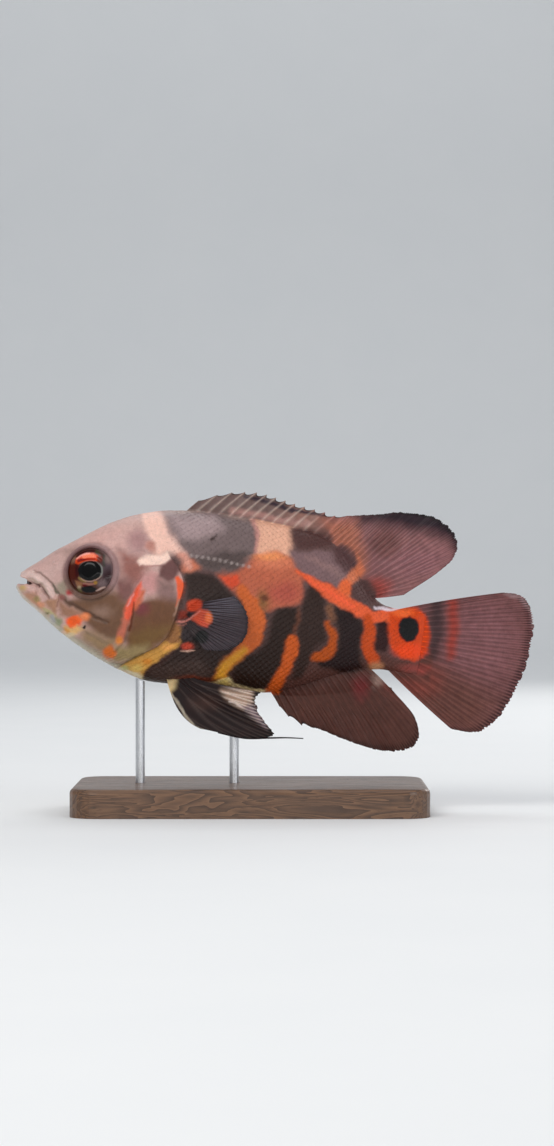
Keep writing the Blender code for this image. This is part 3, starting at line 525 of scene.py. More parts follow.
# Every marking is a named form in the photo's pixels: an area by its corners, a stripe by its
# line and half widths, or a spot by its middle and radii, then its softness and its colour.
# They are laid one over another in this order.
AREA, STRIPE, SPOT = "area", "stripe", "spot"
HEAD_MARKS = {
    "forehead": (SPOT, (108, 543, 30, 18), 14, (202, 160, 152)),
    "snout": (AREA, [(15, 575), (60, 545), (70, 556), (64, 578), (58, 590), (30, 582)], 6, (190,
        155, 148)),
    "snout_shade": (SPOT, (74, 551, 8, 4), 6, (172, 140, 132)),
    "muzzle": (AREA, [(56, 586), (66, 578), (70, 590), (67, 601), (61, 597)], 4, (148, 134, 118)),
    "behind_eye": (AREA, [(119, 550), (138, 556), (148, 568), (142, 584), (130, 584), (120, 574)],
        8, (144, 94, 86)),
    "behind_eye_low": (AREA, [(116, 580), (132, 578), (136, 588), (128, 602), (114, 602)], 6, (124,
        86, 82)),
    "temple": (SPOT, (139, 542, 10, 12), 7, (164, 124, 122)),
    "cheek": (AREA, [(67, 602), (84, 597), (112, 592), (128, 602), (128, 640), (112, 642), (96,
        636), (84, 622), (74, 610)], 6, (110, 80, 62)),
    "cheek_light": (SPOT, (101, 612, 10, 5), 5, (136, 108, 94)),
    "cheek_front": (AREA, [(58, 600), (68, 605), (82, 614), (74, 619), (62, 617)], 4, (152, 112,
        92)),
    "cheek_low": (AREA, [(82, 628), (104, 637), (118, 638), (112, 653), (98, 653), (82, 640)], 6,
        (144, 118, 90)),
    # Painted shade along the crease under the eye.
    "crease": (STRIPE, [(66, 601), (74, 606.5), (84, 612.5), (96, 618.5), (108, 621.5)], (1.6, 1.8,
        1.4, 1.6, 0.8), 2, (86, 62, 50)),
    "gill_top": (SPOT, (151, 584, 11, 10), 6, (194, 140, 136)),
    "gill_mauve": (AREA, [(158, 580), (177, 582), (179, 602), (168, 608), (158, 602)], 6, (134, 104,
        100)),
    "gill_brown": (AREA, [(130, 604), (150, 598), (180, 601), (178, 616), (174, 630), (165, 643),
        (148, 653), (128, 652), (127, 640), (128, 620)], 6, (106, 72, 52)),
    "gill_purple": (SPOT, (141, 608, 8, 6), 5, (116, 60, 62)),
    "gill_golden": (AREA, [(132, 632), (172, 622), (166, 638), (152, 649), (132, 652)], 8, (112, 84,
        52)),
    "gill_olive": (AREA, [(116, 646), (150, 646), (146, 653), (130, 660), (114, 661), (111, 655)],
        5, (146, 126, 88)),
    # Painted shade in the crease low on the gill cover.
    "gill_crease": (STRIPE, [(112, 664), (124, 662.5), (133, 657.5), (143, 653.5)], (1, 1.2, 1.2,
        0.8), 1.4, (104, 90, 52)),
    "gill_low": (AREA, [(112, 665), (125, 664), (136, 658), (134, 668), (122, 672)], 2, (160, 150,
        112)),
    "jaw_pale": (STRIPE, [(44, 616), (60, 633), (94, 657), (122, 670)], (3, 5, 7, 4), 4, (156, 142,
        120)),
    "jaw_olive": (STRIPE, [(43, 608), (50, 613), (57, 617)], (2, 2.6, 1.5), 2, (178, 164, 122)),
    "jaw_grey": (SPOT, (52.5, 620, 4, 4), 2, (156, 154, 154)),
    "jaw_green": (SPOT, (58.5, 621.5, 4, 3.5), 2, (140, 142, 112)),
    "jaw_speck": (SPOT, (47.5, 614, 2, 1.1), 1, (114, 106, 70)),
    "jaw_speck_low": (SPOT, (58.5, 628, 1.5, 1.4), 1, (106, 102, 62)),
    "jaw_red": (SPOT, (61, 631, 2.6, 2), 1.2, (206, 116, 84)),
    "lower_lip": (AREA, [(15, 584), (28, 583), (37, 585), (37, 598), (30, 602), (22, 599), (16,
        592)], 2, (194, 156, 148)),
    "chin": (AREA, [(24, 595), (36, 595), (39, 600), (46, 606), (42, 611), (32, 606), (24, 602)], 3,
        (176, 130, 106)),
    "chin_yellow": (SPOT, (24, 590, 3.6, 3), 2.4, (184, 154, 106)),
    "chin_olive": (SPOT, (38.5, 601.5, 3.4, 3.4), 2, (154, 130, 90)),
    "chin_orange": (SPOT, (42.5, 606, 3.2, 2.8), 2, (216, 146, 112)),
    "corner": (AREA, [(49, 600), (58, 599), (59, 608), (56, 615), (50, 609), (45, 603)], 2.5, (164,
        122, 98)),
    "upper_lip": (STRIPE, [(23, 575), (32, 576), (40, 581.5), (47, 588), (54, 595)], (3.8, 4, 4,
        3.6, 3), 1.8, (208, 178, 170)),
    # Painted shade under the upper lip.
    "lip_under": (STRIPE, [(30, 581), (38, 583), (44, 589), (50, 596)], (1.2, 1.4, 1.4, 1), 1.4,
        (170, 146, 134)),
    "lip_end": (SPOT, (56.5, 598, 2, 2.4), 1, (200, 158, 148)),
    # Painted shade in the fold along the top of the upper lip.
    "lip_fold": (STRIPE, [(35, 572.3), (39, 574), (43, 577), (47, 580.8), (51, 584), (54, 587.5),
        (57, 591), (60, 595)], (0.1, 0.7, 0.8, 0.8, 1, 1.2, 1.3, 0.6), 1.2, (128, 106, 98)),
    # Painted shade, olive-tinted, where the lip fold ends.
    "fold_shade_olive": (STRIPE, [(53, 586.5), (56, 590), (59, 594)], (0.8, 1.2, 0.8), 1, (104, 96, 82)),
    # Painted shade in the fold between the lips.
    "mouth_fold": (STRIPE, [(28.5, 583), (34, 584.2), (38, 585.5), (42, 589), (46, 594), (50, 599)],
        (0.1, 0.4, 0.9, 1, 1, 0.4), 1.2, (124, 96, 88)),
    # Painted shade in the dimple beside the lower lip's fold.
    "mouth_dimple": (STRIPE, [(38, 586.5), (38, 589)], (1.2, 1), 0.9, (104, 74, 68)),
    "corner_light": (SPOT, (41, 593.6, 2, 1.5), 1, (198, 162, 150)),
    # Painted shade along the edge of the maxilla.
    "maxilla_edge": (STRIPE, [(60, 595), (59.8, 602), (58, 608)], (0.4, 0.6, 0.2), 0.9, (130, 90,
        80)),
    "cheek_red": (SPOT, (63.5, 598.5, 3.4, 3.4), 2.2, (136, 88, 80)),
    "orange_halo": (SPOT, (73, 629, 9, 5), 2.5, (218, 172, 112)),
    "orange_low": (SPOT, (65.5, 630, 3.4, 3), 1.6, (212, 144, 60)),
    "cream_low": (SPOT, (71, 634, 4.6, 2.4), 1.6, (224, 196, 150)),
    "orange_spot": (SPOT, (74, 621.5, 7.2, 5), 1.8, (236, 92, 38)),
    "orange_spot_tail": (SPOT, (83.5, 618.5, 5.5, 3.4), 2.4, (220, 126, 80)),
    "black_dot": (SPOT, (84, 627.5, 1.9, 1.5), 0.8, (40, 26, 22)),
    "red_spot": (SPOT, (71.5, 592, 4.2, 3.6), 2.2, (166, 60, 62)),
    "orange_under": (SPOT, (110, 652, 5.5, 6), 2.2, (206, 104, 40)),
    "preopercle_back": (STRIPE, [(142, 591), (138, 600), (134, 607)], (2, 3.4, 2), 2.6, (196, 100,
        70)),
    "preopercle_low": (STRIPE, [(125.5, 614), (123, 626), (121, 637)], (3.4, 4, 4.4), 2.6, (184,
        104, 84)),
    "preopercle": (STRIPE, [(141, 582), (137.5, 590), (131.5, 600), (127.5, 609), (125.8, 616)],
        (0.8, 3, 4.2, 4, 2.6), 2, (226, 92, 66)),
    "preopercle_rim": (STRIPE, [(134, 591), (130, 599), (126, 606)], (0.6, 0.9, 0.5), 1, (222, 142,
        134)),
    "preopercle_foot": (SPOT, (119.5, 641, 4.5, 4.5), 2.6, (214, 128, 60)),
    "preopercle_shade": (STRIPE, [(134, 601), (131, 614), (129.5, 629)], (0.5, 1.2, 1.6), 1.4, (92,
        50, 32)),
    "nape": (AREA, [(140, 512), (160, 511), (168, 528), (176, 545), (184, 558), (178, 561), (168,
        552), (152, 556), (153, 540), (146, 528)], 3, (234, 188, 172)),
    "nape_edge": (SPOT, (178, 560, 6, 4.6), 3, (172, 110, 98)),
    "temple_brown": (SPOT, (151, 545, 4.5, 5), 2.8, (180, 126, 114)),
    "cream": (AREA, [(139, 561), (148, 554), (168, 551), (166, 560), (160, 565), (141, 566)], 2,
        (244, 208, 192)),
    "cream_edge": (STRIPE, [(142, 566.6), (152, 566.4), (160, 566)], (0.3, 0.5, 0.3), 0.8, (172,
        122, 116)),
    "gill_corner": (AREA, [(160, 566), (166, 560), (173, 558), (180, 570), (178, 577), (170, 582),
        (160, 578)], 3, (106, 74, 72)),
    "gill_rim_orange": (STRIPE, [(179, 577.5), (181.8, 584), (180.6, 591), (177.5, 599), (175,
        605)], (2, 3.8, 3.2, 1.6, 0.8), 1.4, (226, 94, 58)),
    "gill_rim_low": (STRIPE, [(177.5, 600), (175.5, 607), (173.5, 613)], (1, 1.4, 0.8), 1.6, (156,
        122, 104)),
}
BODY_MARKS = {
    "belly_brown": (AREA, [(290, 664), (330, 660), (372, 656), (380, 690), (330, 700), (280, 700)],
        6, (84, 57, 52)),
    "tail_brown": (AREA, [(372, 654), (400, 658), (440, 655), (440, 700), (380, 690)], 6, (88, 56,
        50)),
    "back_strip": (AREA, [(160, 508), (190, 505), (250, 512), (302, 516), (302, 527), (250, 524),
        (200, 521), (168, 520)], 4, (162, 138, 130)),
    "shoulder": (AREA, [(164, 515), (190, 512), (250, 520), (254, 545), (247, 563), (237, 571),
        (222, 572), (206, 569), (196, 560), (184, 557), (176, 543), (169, 530)], 2.6, (114, 98,
        97)),
    "shoulder_light": (AREA, [(168, 513), (215, 517), (224, 530), (200, 540), (180, 536)], 8, (160,
        138, 138)),
    "shoulder_low": (AREA, [(198, 558), (222, 552), (247, 552), (240, 571), (206, 570)], 5, (86, 74,
        72)),
    "scar": (STRIPE, [(213, 540), (216, 535)], (1.2, 0.8), 1, (60, 46, 44)),
    "gill_patch": (SPOT, (191, 567, 10, 5.6), 3, (198, 116, 90)),
    "gill_patch_left": (STRIPE, [(178, 554), (184, 561), (189, 567)], (4, 4.4, 3), 3, (212, 148,
        130)),
    "peach": (AREA, [(251, 519), (268, 518), (288, 523), (292, 532), (291, 554), (262, 560), (253,
        556), (256, 537)], 3.4, (224, 168, 142)),
    "peach_left": (STRIPE, [(252, 522), (256, 536), (254, 552)], (1.5, 1.6, 1.5), 2.4, (186, 130,
        124)),
    "salmon": (AREA, [(218, 574), (238, 572), (253, 557), (280, 553), (293, 560), (303, 577), (300,
        603), (282, 608), (268, 614), (256, 600), (242, 594), (230, 586)], 4, (182, 98, 74)),
    "salmon_top": (SPOT, (273, 562, 20, 8), 6, (208, 120, 90)),
    "peach_foot": (SPOT, (269, 557, 14, 3.6), 3, (230, 142, 92)),
    "salmon_red": (AREA, [(220, 575), (237, 574), (241, 582), (233, 588), (226, 583)], 2.6, (208,
        78, 52)),
    "salmon_rose": (SPOT, (284, 593, 14, 10), 7, (172, 84, 70)),
    "salmon_brown": (SPOT, (264, 601, 6, 11), 4.5, (138, 92, 58)),
    "salmon_dot": (SPOT, (265.5, 597, 3.8, 3.6), 2.4, (98, 56, 42)),
    "stripe_one": (STRIPE, [(243, 588), (252, 603), (257, 622), (251, 638), (241, 648.5), (229,
        659), (220, 669), (217, 680)], (5, 7.6, 9, 7.6, 6.4, 6, 7, 8), 2, (204, 100, 52)),
    "stripe_one_low": (STRIPE, [(243, 648), (230, 659), (221, 669), (218, 681)], (3, 5, 6, 7.4),
        3.4, (214, 148, 54)),
    "dark_one": (AREA, [(186, 573), (214, 575), (229, 588), (242, 601), (250, 616), (248, 632),
        (238, 644), (226, 654), (213, 672), (205, 684), (160, 688), (138, 680), (165, 663), (178,
        650), (184, 625)], 3.4, (56, 45, 42)),
    "dark_one_low": (AREA, [(150, 668), (200, 660), (210, 672), (200, 686), (150, 688)], 6, (74, 60,
        56)),
    "dark_one_red": (SPOT, (200, 679, 20, 3), 2.6, (110, 56, 42)),
    "band_gold": (AREA, [(173, 622), (180, 628), (181.5, 644), (179, 648.5), (172, 651), (163, 657),
        (156, 661.5), (149, 665), (145, 670), (139, 678), (118, 676), (100, 662), (125, 652), (150,
        640), (165, 630)], 1.6, (206, 150, 76)),
    "band_tan": (AREA, [(171, 616), (180, 624), (181.5, 644), (172, 645), (164, 641)], 2.4, (146,
        100, 64)),
    "band_orange": (SPOT, (146, 660.5, 5, 3), 2, (212, 134, 56)),
    "band_orange_top": (SPOT, (169, 647.5, 6, 2.4), 2, (230, 160, 88)),
    "band_yellow": (SPOT, (136, 668, 6, 4), 2.5, (224, 186, 104)),
    "band_cream": (STRIPE, [(126, 671), (132, 674), (139, 676)], (1.6, 2.2, 1.8), 1.4, (246, 228,
        184)),
    "band_green": (SPOT, (123, 668, 5, 3), 2, (188, 182, 116)),
    "dark_two": (AREA, [(272, 622), (277, 612), (286, 607), (297, 607), (298, 622), (291, 636),
        (289, 652), (282, 668), (272, 678), (262, 692), (240, 690), (234, 676), (236, 662), (243,
        654), (256, 650), (266, 640)], 3.4, (48, 36, 32)),
    "belly_cream": (AREA, [(190, 682), (206, 682), (216, 679), (230, 677), (236, 683), (250, 687),
        (268, 690), (262, 702), (225, 700), (196, 692)], 1.6, (236, 212, 158)),
    "belly_yellow": (SPOT, (224, 683, 7, 5), 2.4, (240, 208, 122)),
    "dark_three": (AREA, [(301, 607), (305, 592), (313, 585), (322, 591), (326, 604), (323, 618),
        (323, 638), (312, 648), (309, 660), (301, 676), (292, 678), (296, 655), (296, 640), (298,
        622)], 3.4, (54, 40, 36)),
    "gap_brown": (STRIPE, [(298, 608), (297, 622), (293, 636)], (1, 1.6, 2), 2, (98, 60, 46)),
    "dark_four": (AREA, [(336, 608), (348, 610), (360, 622), (362, 636), (360, 655), (362, 668),
        (345, 674), (318, 668), (316, 660), (330, 656), (339, 645), (336, 630), (333, 618)], 3.4,
        (42, 30, 28)),
    "gap_green": (SPOT, (330, 612, 4, 8), 3, (116, 78, 58)),
    "rear_grey": (AREA, [(290, 548), (312, 550), (335, 552), (350, 560), (350, 572), (343, 583),
        (338, 590), (326, 585), (306, 576), (294, 568)], 3, (122, 96, 97)),
    "rear_dark": (AREA, [(292, 530), (304, 526), (325, 527), (331, 537), (330, 547), (312, 549),
        (298, 547), (291, 540)], 3.2, (84, 60, 58)),
    "rear_brown": (AREA, [(331, 549), (343, 545), (355, 549), (358, 559), (354, 570), (343, 573),
        (333, 563)], 3.2, (88, 64, 64)),
    # A painted highlight lying diagonally across the grey patch.
    "rear_highlight": (STRIPE, [(306, 555), (324, 566), (338, 577)], (2, 3, 2.4), 4, (138, 108, 106)),
    "branch": (STRIPE, [(342, 600), (345, 587), (353, 576), (364, 565), (362, 548), (358, 532)], (8,
        6, 5, 6, 6, 8), 3, (204, 114, 80)),
    "branch_foot": (SPOT, (346, 588, 8, 8), 3, (218, 100, 58)),
    "tail_grey": (SPOT, (364, 592, 12.5, 12), 2, (84, 61, 59)),
    "band": (STRIPE, [(296, 573), (309, 580), (322, 589), (334, 597), (347, 604), (358, 612), (372,
        617), (390, 617)], (1.5, 3.5, 5, 7, 6.5, 6, 6, 8), 2, (222, 94, 58)),
    "band_core": (STRIPE, [(306, 579), (326, 592), (342, 601), (352, 608)], (1, 2, 2.4, 1.5), 2,
        (238, 96, 62)),
    "stripe_two": (STRIPE, [(291, 640), (290, 653), (285.5, 668), (279, 682), (271, 696)], (5.6,
        6.4, 6, 6, 6.6), 1.8, (192, 86, 38)),
    "hook": (STRIPE, [(326, 622), (331, 635), (330, 646), (324, 654), (315, 657)], (3, 4.6, 6.2, 7,
        5.2), 2.2, (170, 76, 29)),
    "stripe_four": (STRIPE, [(366, 620), (368, 636), (371, 650), (375, 664)], (5, 6, 6.4, 5.4), 2.2,
        (188, 73, 32)),
    "stripe_four_foot": (SPOT, (376, 666, 7, 5), 3, (176, 122, 88)),
    "tail_bar": (AREA, [(376, 625), (384, 621), (389, 630), (389, 644), (386, 652), (378, 650),
        (375, 638)], 2, (50, 30, 28)),
    "ring": (AREA, [(388, 613), (400, 605), (418, 606), (428, 617), (431, 634), (427, 650), (416,
        660), (402, 658), (391, 648), (387, 630)], 2.6, (202, 69, 29)),
    "ring_top": (SPOT, (402, 611, 12, 5), 3, (228, 100, 52)),
    "ring_hot": (SPOT, (410, 651, 14, 6), 4, (232, 72, 32)),
    "eyespot": (SPOT, (408.8, 629.3, 11.6, 14), 1.3, (12, 9, 13)),
    # A painted highlight, whitish, on the tail above the eyespot's ring.
    "tail_highlight": (STRIPE, [(374, 607), (386, 609.5), (397, 608)], (1.2, 1.8, 0.8), 1.4, (216, 200,
        208)),
    "tail_red": (SPOT, (418, 668, 15, 5), 4, (134, 64, 58)),
}
PECTORAL_MARKS = {
    "grey_disc": (SPOT, (190, 631.5, 8.5, 10.5), 2, (60, 52, 53)),
    "root_red": (AREA, [(176, 610), (186, 610), (188, 617), (177, 618)], 1.8, (122, 48, 36)),
    "lobe": (SPOT, (193, 605.5, 8, 5.8), 1.8, (192, 68, 40)),
    "lobe_two": (AREA, [(198, 610), (208, 610), (212, 621), (207, 627), (198, 624), (191, 618)], 2,
        (188, 78, 56)),
    "lobe_orange": (SPOT, (209, 617, 3.4, 5), 2, (224, 112, 62)),
    "pink_line": (STRIPE, [(176, 619), (186, 620.5), (190, 618), (199, 612)], (0.5, 0.8, 0.8, 0.3),
        0.9, (206, 126, 114)),
    "pink_line_low": (STRIPE, [(177, 622.5), (186, 623)], (0.4, 0.3), 0.8, (180, 112, 100)),
    "lobe_dot": (SPOT, (188, 614.3, 2.2, 1.9), 0.9, (44, 20, 18)),
    "black_blob": (SPOT, (202, 637, 7, 6.7), 1.8, (26, 23, 23)),
    "red_low": (SPOT, (189, 648, 6.6, 3.6), 1.8, (190, 72, 54)),
    "white_low": (STRIPE, [(182, 652), (189, 653), (196, 653)], (0.3, 0.8, 0.4), 0.8, (216, 170,
        150)),
}
PELVIC_MARKS = {
    "front_line": (STRIPE, [(166, 684), (172, 695), (180, 707), (187, 718), (195, 726), (204, 730)],
        (1.2, 1.4, 1.5, 1.3, 1.1, 0.6), 1, (150, 140, 124)),
    "root": (AREA, [(160, 680), (178, 680), (176, 688), (168, 694), (163, 690)], 3.6, (206, 178,
        130)),
    "brown": (SPOT, (204, 702, 14, 7), 6, (60, 42, 38)),
    "rear_white": (AREA, [(222, 689), (252, 691), (254, 703), (244, 708), (234, 703), (226, 697)],
        5, (166, 136, 116)),
    "white_streak": (STRIPE, [(229, 700.5), (238, 704), (247, 708)], (0.8, 1.1, 0.6), 1, (230, 208,
        198)),
    "lilac": (AREA, [(244, 706), (256, 705), (262, 716), (268, 728), (256, 720), (248, 713)], 3.6,
        (122, 104, 112)),
}
FIN_MARKS = {
    "caudal_low": (AREA, [(385, 665), (430, 660), (470, 680), (500, 700), (480, 740), (430, 730),
        (390, 690)], 22, (96, 62, 56)),
    "caudal_low_red": (SPOT, (415, 680, 22, 14), 14, (120, 60, 52)),
    "caudal_mid": (SPOT, (480, 640, 36, 34), 18, (118, 80, 82)),
    "caudal_dark": (STRIPE, [(437, 600), (438, 630), (434, 655)], (6.5, 7.5, 5.5), 6, (72, 54, 55)),
    "caudal_red": (STRIPE, [(453, 602), (454, 630), (451, 656)], (4.5, 5, 3.5), 4.5, (140, 62, 54)),
    "caudal_edge": (STRIPE, [(505, 593), (522, 598), (532, 612), (535, 628)], (1.5, 1.5, 1.5, 1), 3,
        (160, 130, 130)),
    "dorsal_rose": (SPOT, (420, 562, 34, 14), 12, (130, 89, 92)),
    "dorsal_brown": (SPOT, (384, 543, 15, 14), 9, (106, 70, 68)),
    "dorsal_top": (STRIPE, [(362, 518), (392, 516), (420, 516), (440, 522), (453, 533), (460, 546)],
        (5, 10, 15, 13, 9, 6), 10, (46, 35, 41)),
    "spiny_dark": (STRIPE, [(244, 496), (260, 499), (276, 504), (290, 509.5), (306, 513), (326,
        516)], (1.4, 2, 2.2, 2, 1.6, 1), 1.8, (62, 50, 58)),
    "spiny_pink": (STRIPE, [(232, 511), (258, 516), (284, 522), (306, 524)], (3, 3.6, 3.6, 3), 3,
        (172, 130, 122)),
    "dorsal_base": (AREA, [(322, 520), (356, 522), (366, 560), (362, 580), (354, 560), (330, 545)],
        9, (158, 98, 80)),
    "dorsal_low_red": (SPOT, (378, 588, 12, 10), 7, (144, 70, 64)),
    "anal_front": (SPOT, (300, 700, 34, 16), 12, (84, 54, 47)),
    "anal_red": (SPOT, (360, 682, 8, 15), 6, (104, 46, 46)),
    "anal_light": (SPOT, (377, 677, 6, 9), 4, (150, 122, 112)),
}
EYE_MARKS = {
    "front_brown": (SPOT, (72, 571, 7, 14), 4, (74, 37, 31)),
    "front_light": (SPOT, (73, 558, 3.5, 4), 3, (128, 97, 82)),
    "rear_grey": (SPOT, (110, 571, 7, 14), 4, (84, 71, 75)),
    "rear_green": (STRIPE, [(105, 555), (105.5, 566)], (1, 1), 1.2, (66, 66, 60)),
    "rear_dark_low": (SPOT, (110, 577, 5.5, 7), 4, (56, 42, 44)),
    "rear_light": (SPOT, (109.5, 558, 3, 5), 2.5, (138, 115, 110)),
    "below_brown": (STRIPE, [(78, 592), (92, 597), (108, 592)], (3, 3.4, 3), 2.5, (80, 55, 44)),
    "rear_low": (SPOT, (103.5, 583.5, 4.5, 4), 2.5, (102, 85, 86)),
    "maroon": (STRIPE, [(77, 556), (82, 552.6), (88, 551), (95, 551)], (0.8, 1.3, 1.4, 1), 1, (58,
        12, 20)),
    "arc_green": (SPOT, (98, 551.5, 2.5, 2), 1.4, (64, 62, 44)),
    "arc_red": (AREA, [(76, 559), (80, 556), (84, 553.6), (90, 552.4), (95, 553), (99, 555.6),
        (102.5, 560), (98, 561.5), (92, 561), (85, 561), (79, 564), (76, 562.5)], 1, (210, 72, 40)),
    # These two lighter stripes are painted highlights on the red arc.
    "arc_bright": (STRIPE, [(84, 556.5), (88, 555.2), (93, 555.4), (96, 556.6)], (1.4, 2, 1.9, 1),
        1.1, (240, 124, 90)),
    "arc_light": (STRIPE, [(77.5, 558), (81, 555.4), (86, 553.6), (90.5, 553)], (0.7, 0.9, 0.8,
        0.5), 0.8, (236, 154, 142)),
    "arc_under": (STRIPE, [(79.5, 560.3), (83.5, 559.4), (88, 559), (96, 559.2)], (1.6, 1.2, 0.7,
        0.6), 0.8, (116, 16, 6)),
    "arc_end": (SPOT, (101, 559, 3, 3), 1.6, (100, 40, 32)),
    "pupil_left": (SPOT, (78, 570, 2, 6), 1.5, (56, 14, 14)),
    "olive_gold": (STRIPE, [(80, 577.5), (83.5, 580), (87, 581.5)], (1, 1.4, 0.8), 1, (122, 98,
        54)),
    "brown_low": (AREA, [(76, 580), (84, 582), (84, 586), (78, 587)], 1.5, (130, 90, 66)),
    "pink_low": (STRIPE, [(85, 583.3), (91, 583.8), (96, 583.4)], (0.8, 1, 0.8), 1, (150, 100, 88)),
    "gold_low": (SPOT, (97.2, 582.6, 1.8, 1.6), 1, (144, 108, 50)),
    "maroon_low": (SPOT, (86, 585, 2.6, 1), 0.8, (90, 32, 36)),
    "peach_left": (SPOT, (80, 586.8, 1.8, 1.4), 1, (162, 140, 114)),
    "olive": (SPOT, (79.5, 591, 3, 3.5), 1.8, (90, 82, 56)),
    # A near-black patch low on the eye.
    "dark_patch_low": (AREA, [(82, 587.4), (86, 585.8), (92, 585.6), (96.6, 587.4), (98.4, 589.6), (94,
        592), (86, 592), (83, 590)], 1, (19, 16, 18)),
    "streak": (STRIPE, [(97.5, 590.4), (101, 588.8), (106, 587)], (0.5, 0.9, 0.6), 0.8, (180, 150,
        140)),
    "streak_low": (STRIPE, [(93, 595), (98, 593.4), (103, 590.8)], (0.4, 0.6, 0.4), 0.9, (122, 90,
        80)),
}
EYE_MIDDLE = (91.3, 570.8)
PUPIL_STRETCH = 1.215


def mark(px, py, forms, colour):
    """Lays each form of a set over colours, in order."""
    for kind, shape, *rest in forms.values():
        if kind == STRIPE:
            halves, soft, tone = rest
            gap = line_distance(px, py, shape, halves)
        elif kind == AREA:
            soft, tone = rest
            gap = area_distance(px, py, shape)
        else:
            soft, tone = rest
            cx, cy, rx, ry = shape
            gap = (np.hypot((px - cx) / rx, (py - cy) / ry) - 1) * min(rx, ry)
        colour = laid(colour, tone, ease(gap, soft, -soft))
    return colour


def warped(points, strength=1.0):
    """Photo places of points, pushed about a little so that no edge is ruler straight."""
    px, py = to_photo(points)
    for size, push, seed in ((7.0, 2.6, 1), (2.6, 1.5, 2), (1.0, 0.8, 3)):
        side = 40 * (points[:, 1] > 0)[:, None]
        px = px + strength * push * noise(points + side, size, seed)
        py = py + strength * push * noise(points + side, size, seed + 10)
    return px, py


def skin_colour(points):
    """The markings of head and body, the gill slit's painted shadow, the pores and the painted
    shade inside the mouth.
    """
    px, py = warped(points)
    x, z = points[:, 0], points[:, 2]
    past_gill = x - GILL_EDGE(z)
    # The ground colour, darker low down and lighter towards the back: partly the fish's own tone,
    # partly painted light from above.
    colour = laid(plain((66, 47, 43), points), (108, 84, 82), ease(py, 700, 500))
    colour = laid(colour, (112, 76, 76), ease(px, 375, 405))
    head = mark(px, py, HEAD_MARKS, plain((194, 158, 150), points))
    body = mark(px, py, PECTORAL_MARKS, mark(px, py, BODY_MARKS, colour))
    below_nape = ease(past_gill, 0.15, -0.35) * ease(py, 540, 556)
    at_nape = ease(px - 166 - 0.5 * (py - 516), 4, -4) * ease(py, 562, 548)
    colour = blend(body, head, np.maximum(below_nape, at_nape))
    ventral = ease(z - BELLY(x), 2.2, 0.4) * ease(x, 50, 30)
    colour = laid(colour, (202, 196, 180), 0.7 * ventral)
    # A painted shadow down the gill slit, fainter low down.
    slit = bump(past_gill, 0.35, 0.4) * ease(z, 17, 12) * ease(z, -22, -18)
    colour = laid(colour, (50, 26, 16), (0.8 - 0.45 * ease(z, -8, -13)) * slit)
    for pore_x, pore_z in LATERAL_PORES:
        near = np.hypot(x - pore_x, (z - pore_z) * 0.8)
        colour = laid(colour, (176, 160, 156), 0.5 * ease(near, 0.7, 0.25))
    # The inside of the mouth, painted dark as its shade.
    depth = half_width_at(x, z) - np.abs(points[:, 1])
    inside = ease(depth, 0.5, 1.2) * ease(x, 7, 5) * ease(np.abs(z - MOUTH_LINE(x)), 1.5, 0.9)
    return laid(colour, (92, 66, 60), inside)


LATERAL_PORES = [(x, 16.4 + 0.4 * math.sin((x - 50) / 5)) for x in np.arange(53.5, 73.0, 1.85)]


# Each ring's outer edge, where it is full, its share, and its tones above and below the eye. Going
# in towards the socket they darken, partly as painted shade.
EYE_RINGS = [
    (10.2, 8.6, 0.8, (134, 104, 104), (104, 80, 68)),
    (8.9, 7.6, 1.0, (104, 74, 74), (82, 58, 48)),
    (7.8, 7.2, 1.0, (84, 54, 52), (72, 50, 42)),
]


def eye_ring_colour(points, colour):
    """The skin round each eye: its own dark tone and painted shade darkening towards the socket,
    with painted light at the rear that softens the shadow there.
    """
    for side in (-1, 1):
        _, axis = eye_frame(side)
        away = points - surface_point(*EYE_PLACE, side)
        near = np.linalg.norm(away - (away @ axis)[:, None] * axis, axis=1)
        low = ease(away[:, 2], 1, -7)
        # Painted light at the back of the eye, lifting the rings' tones there.
        rear = ease(away[:, 0], -1, 6) * ease(away[:, 2], -6, -1)
        same = points[:, 1] * side > 0
        for reach, full, share, high_tone, low_tone in EYE_RINGS:
            tone = laid(laid(plain(high_tone, points), low_tone, low), (142, 112, 111), rear)
            colour = blend(colour, tone, share * (ease(near, reach, full) * same))
    return colour


FOLDS = {
    # Grooves of the head: line in photo pixels, depth and half width in millimetres.
    "lip_fold": (HEAD_MARKS["lip_fold"][1], 0.42, 0.42),
    "mouth_fold": (HEAD_MARKS["mouth_fold"][1], 0.55, 0.38),
    "maxilla_edge": ([(60, 595), (59.8, 602), (58, 607)], 0.2, 0.4),
    "lower_lip_fold": ([(37.5, 586), (37.5, 594), (36.5, 600)], 0.25, 0.45),
    "under_eye": ([(66, 600), (74, 606.5), (84, 612.5), (96, 618.5), (108, 621.5)], 0.4, 0.7),
    "jaw_hinge": ([(60, 608), (70, 620), (86, 634), (104, 644)], 0.2, 0.7),
    "jaw_edge": ([(40, 606), (62, 630), (92, 650), (118, 663)], 0.25, 0.6),
    "preopercle": ([(144, 575), (138, 583), (134, 592), (132.5, 602), (131, 612), (129.5, 622),
        (128, 632), (126, 641), (116, 652)], 0.4, 0.5),
    "gill_crease": (HEAD_MARKS["gill_crease"][1], 0.25, 0.5),
    "cheek_back": ([(128, 596), (120, 606), (116, 622), (112, 640)], 0.15, 0.6),
}


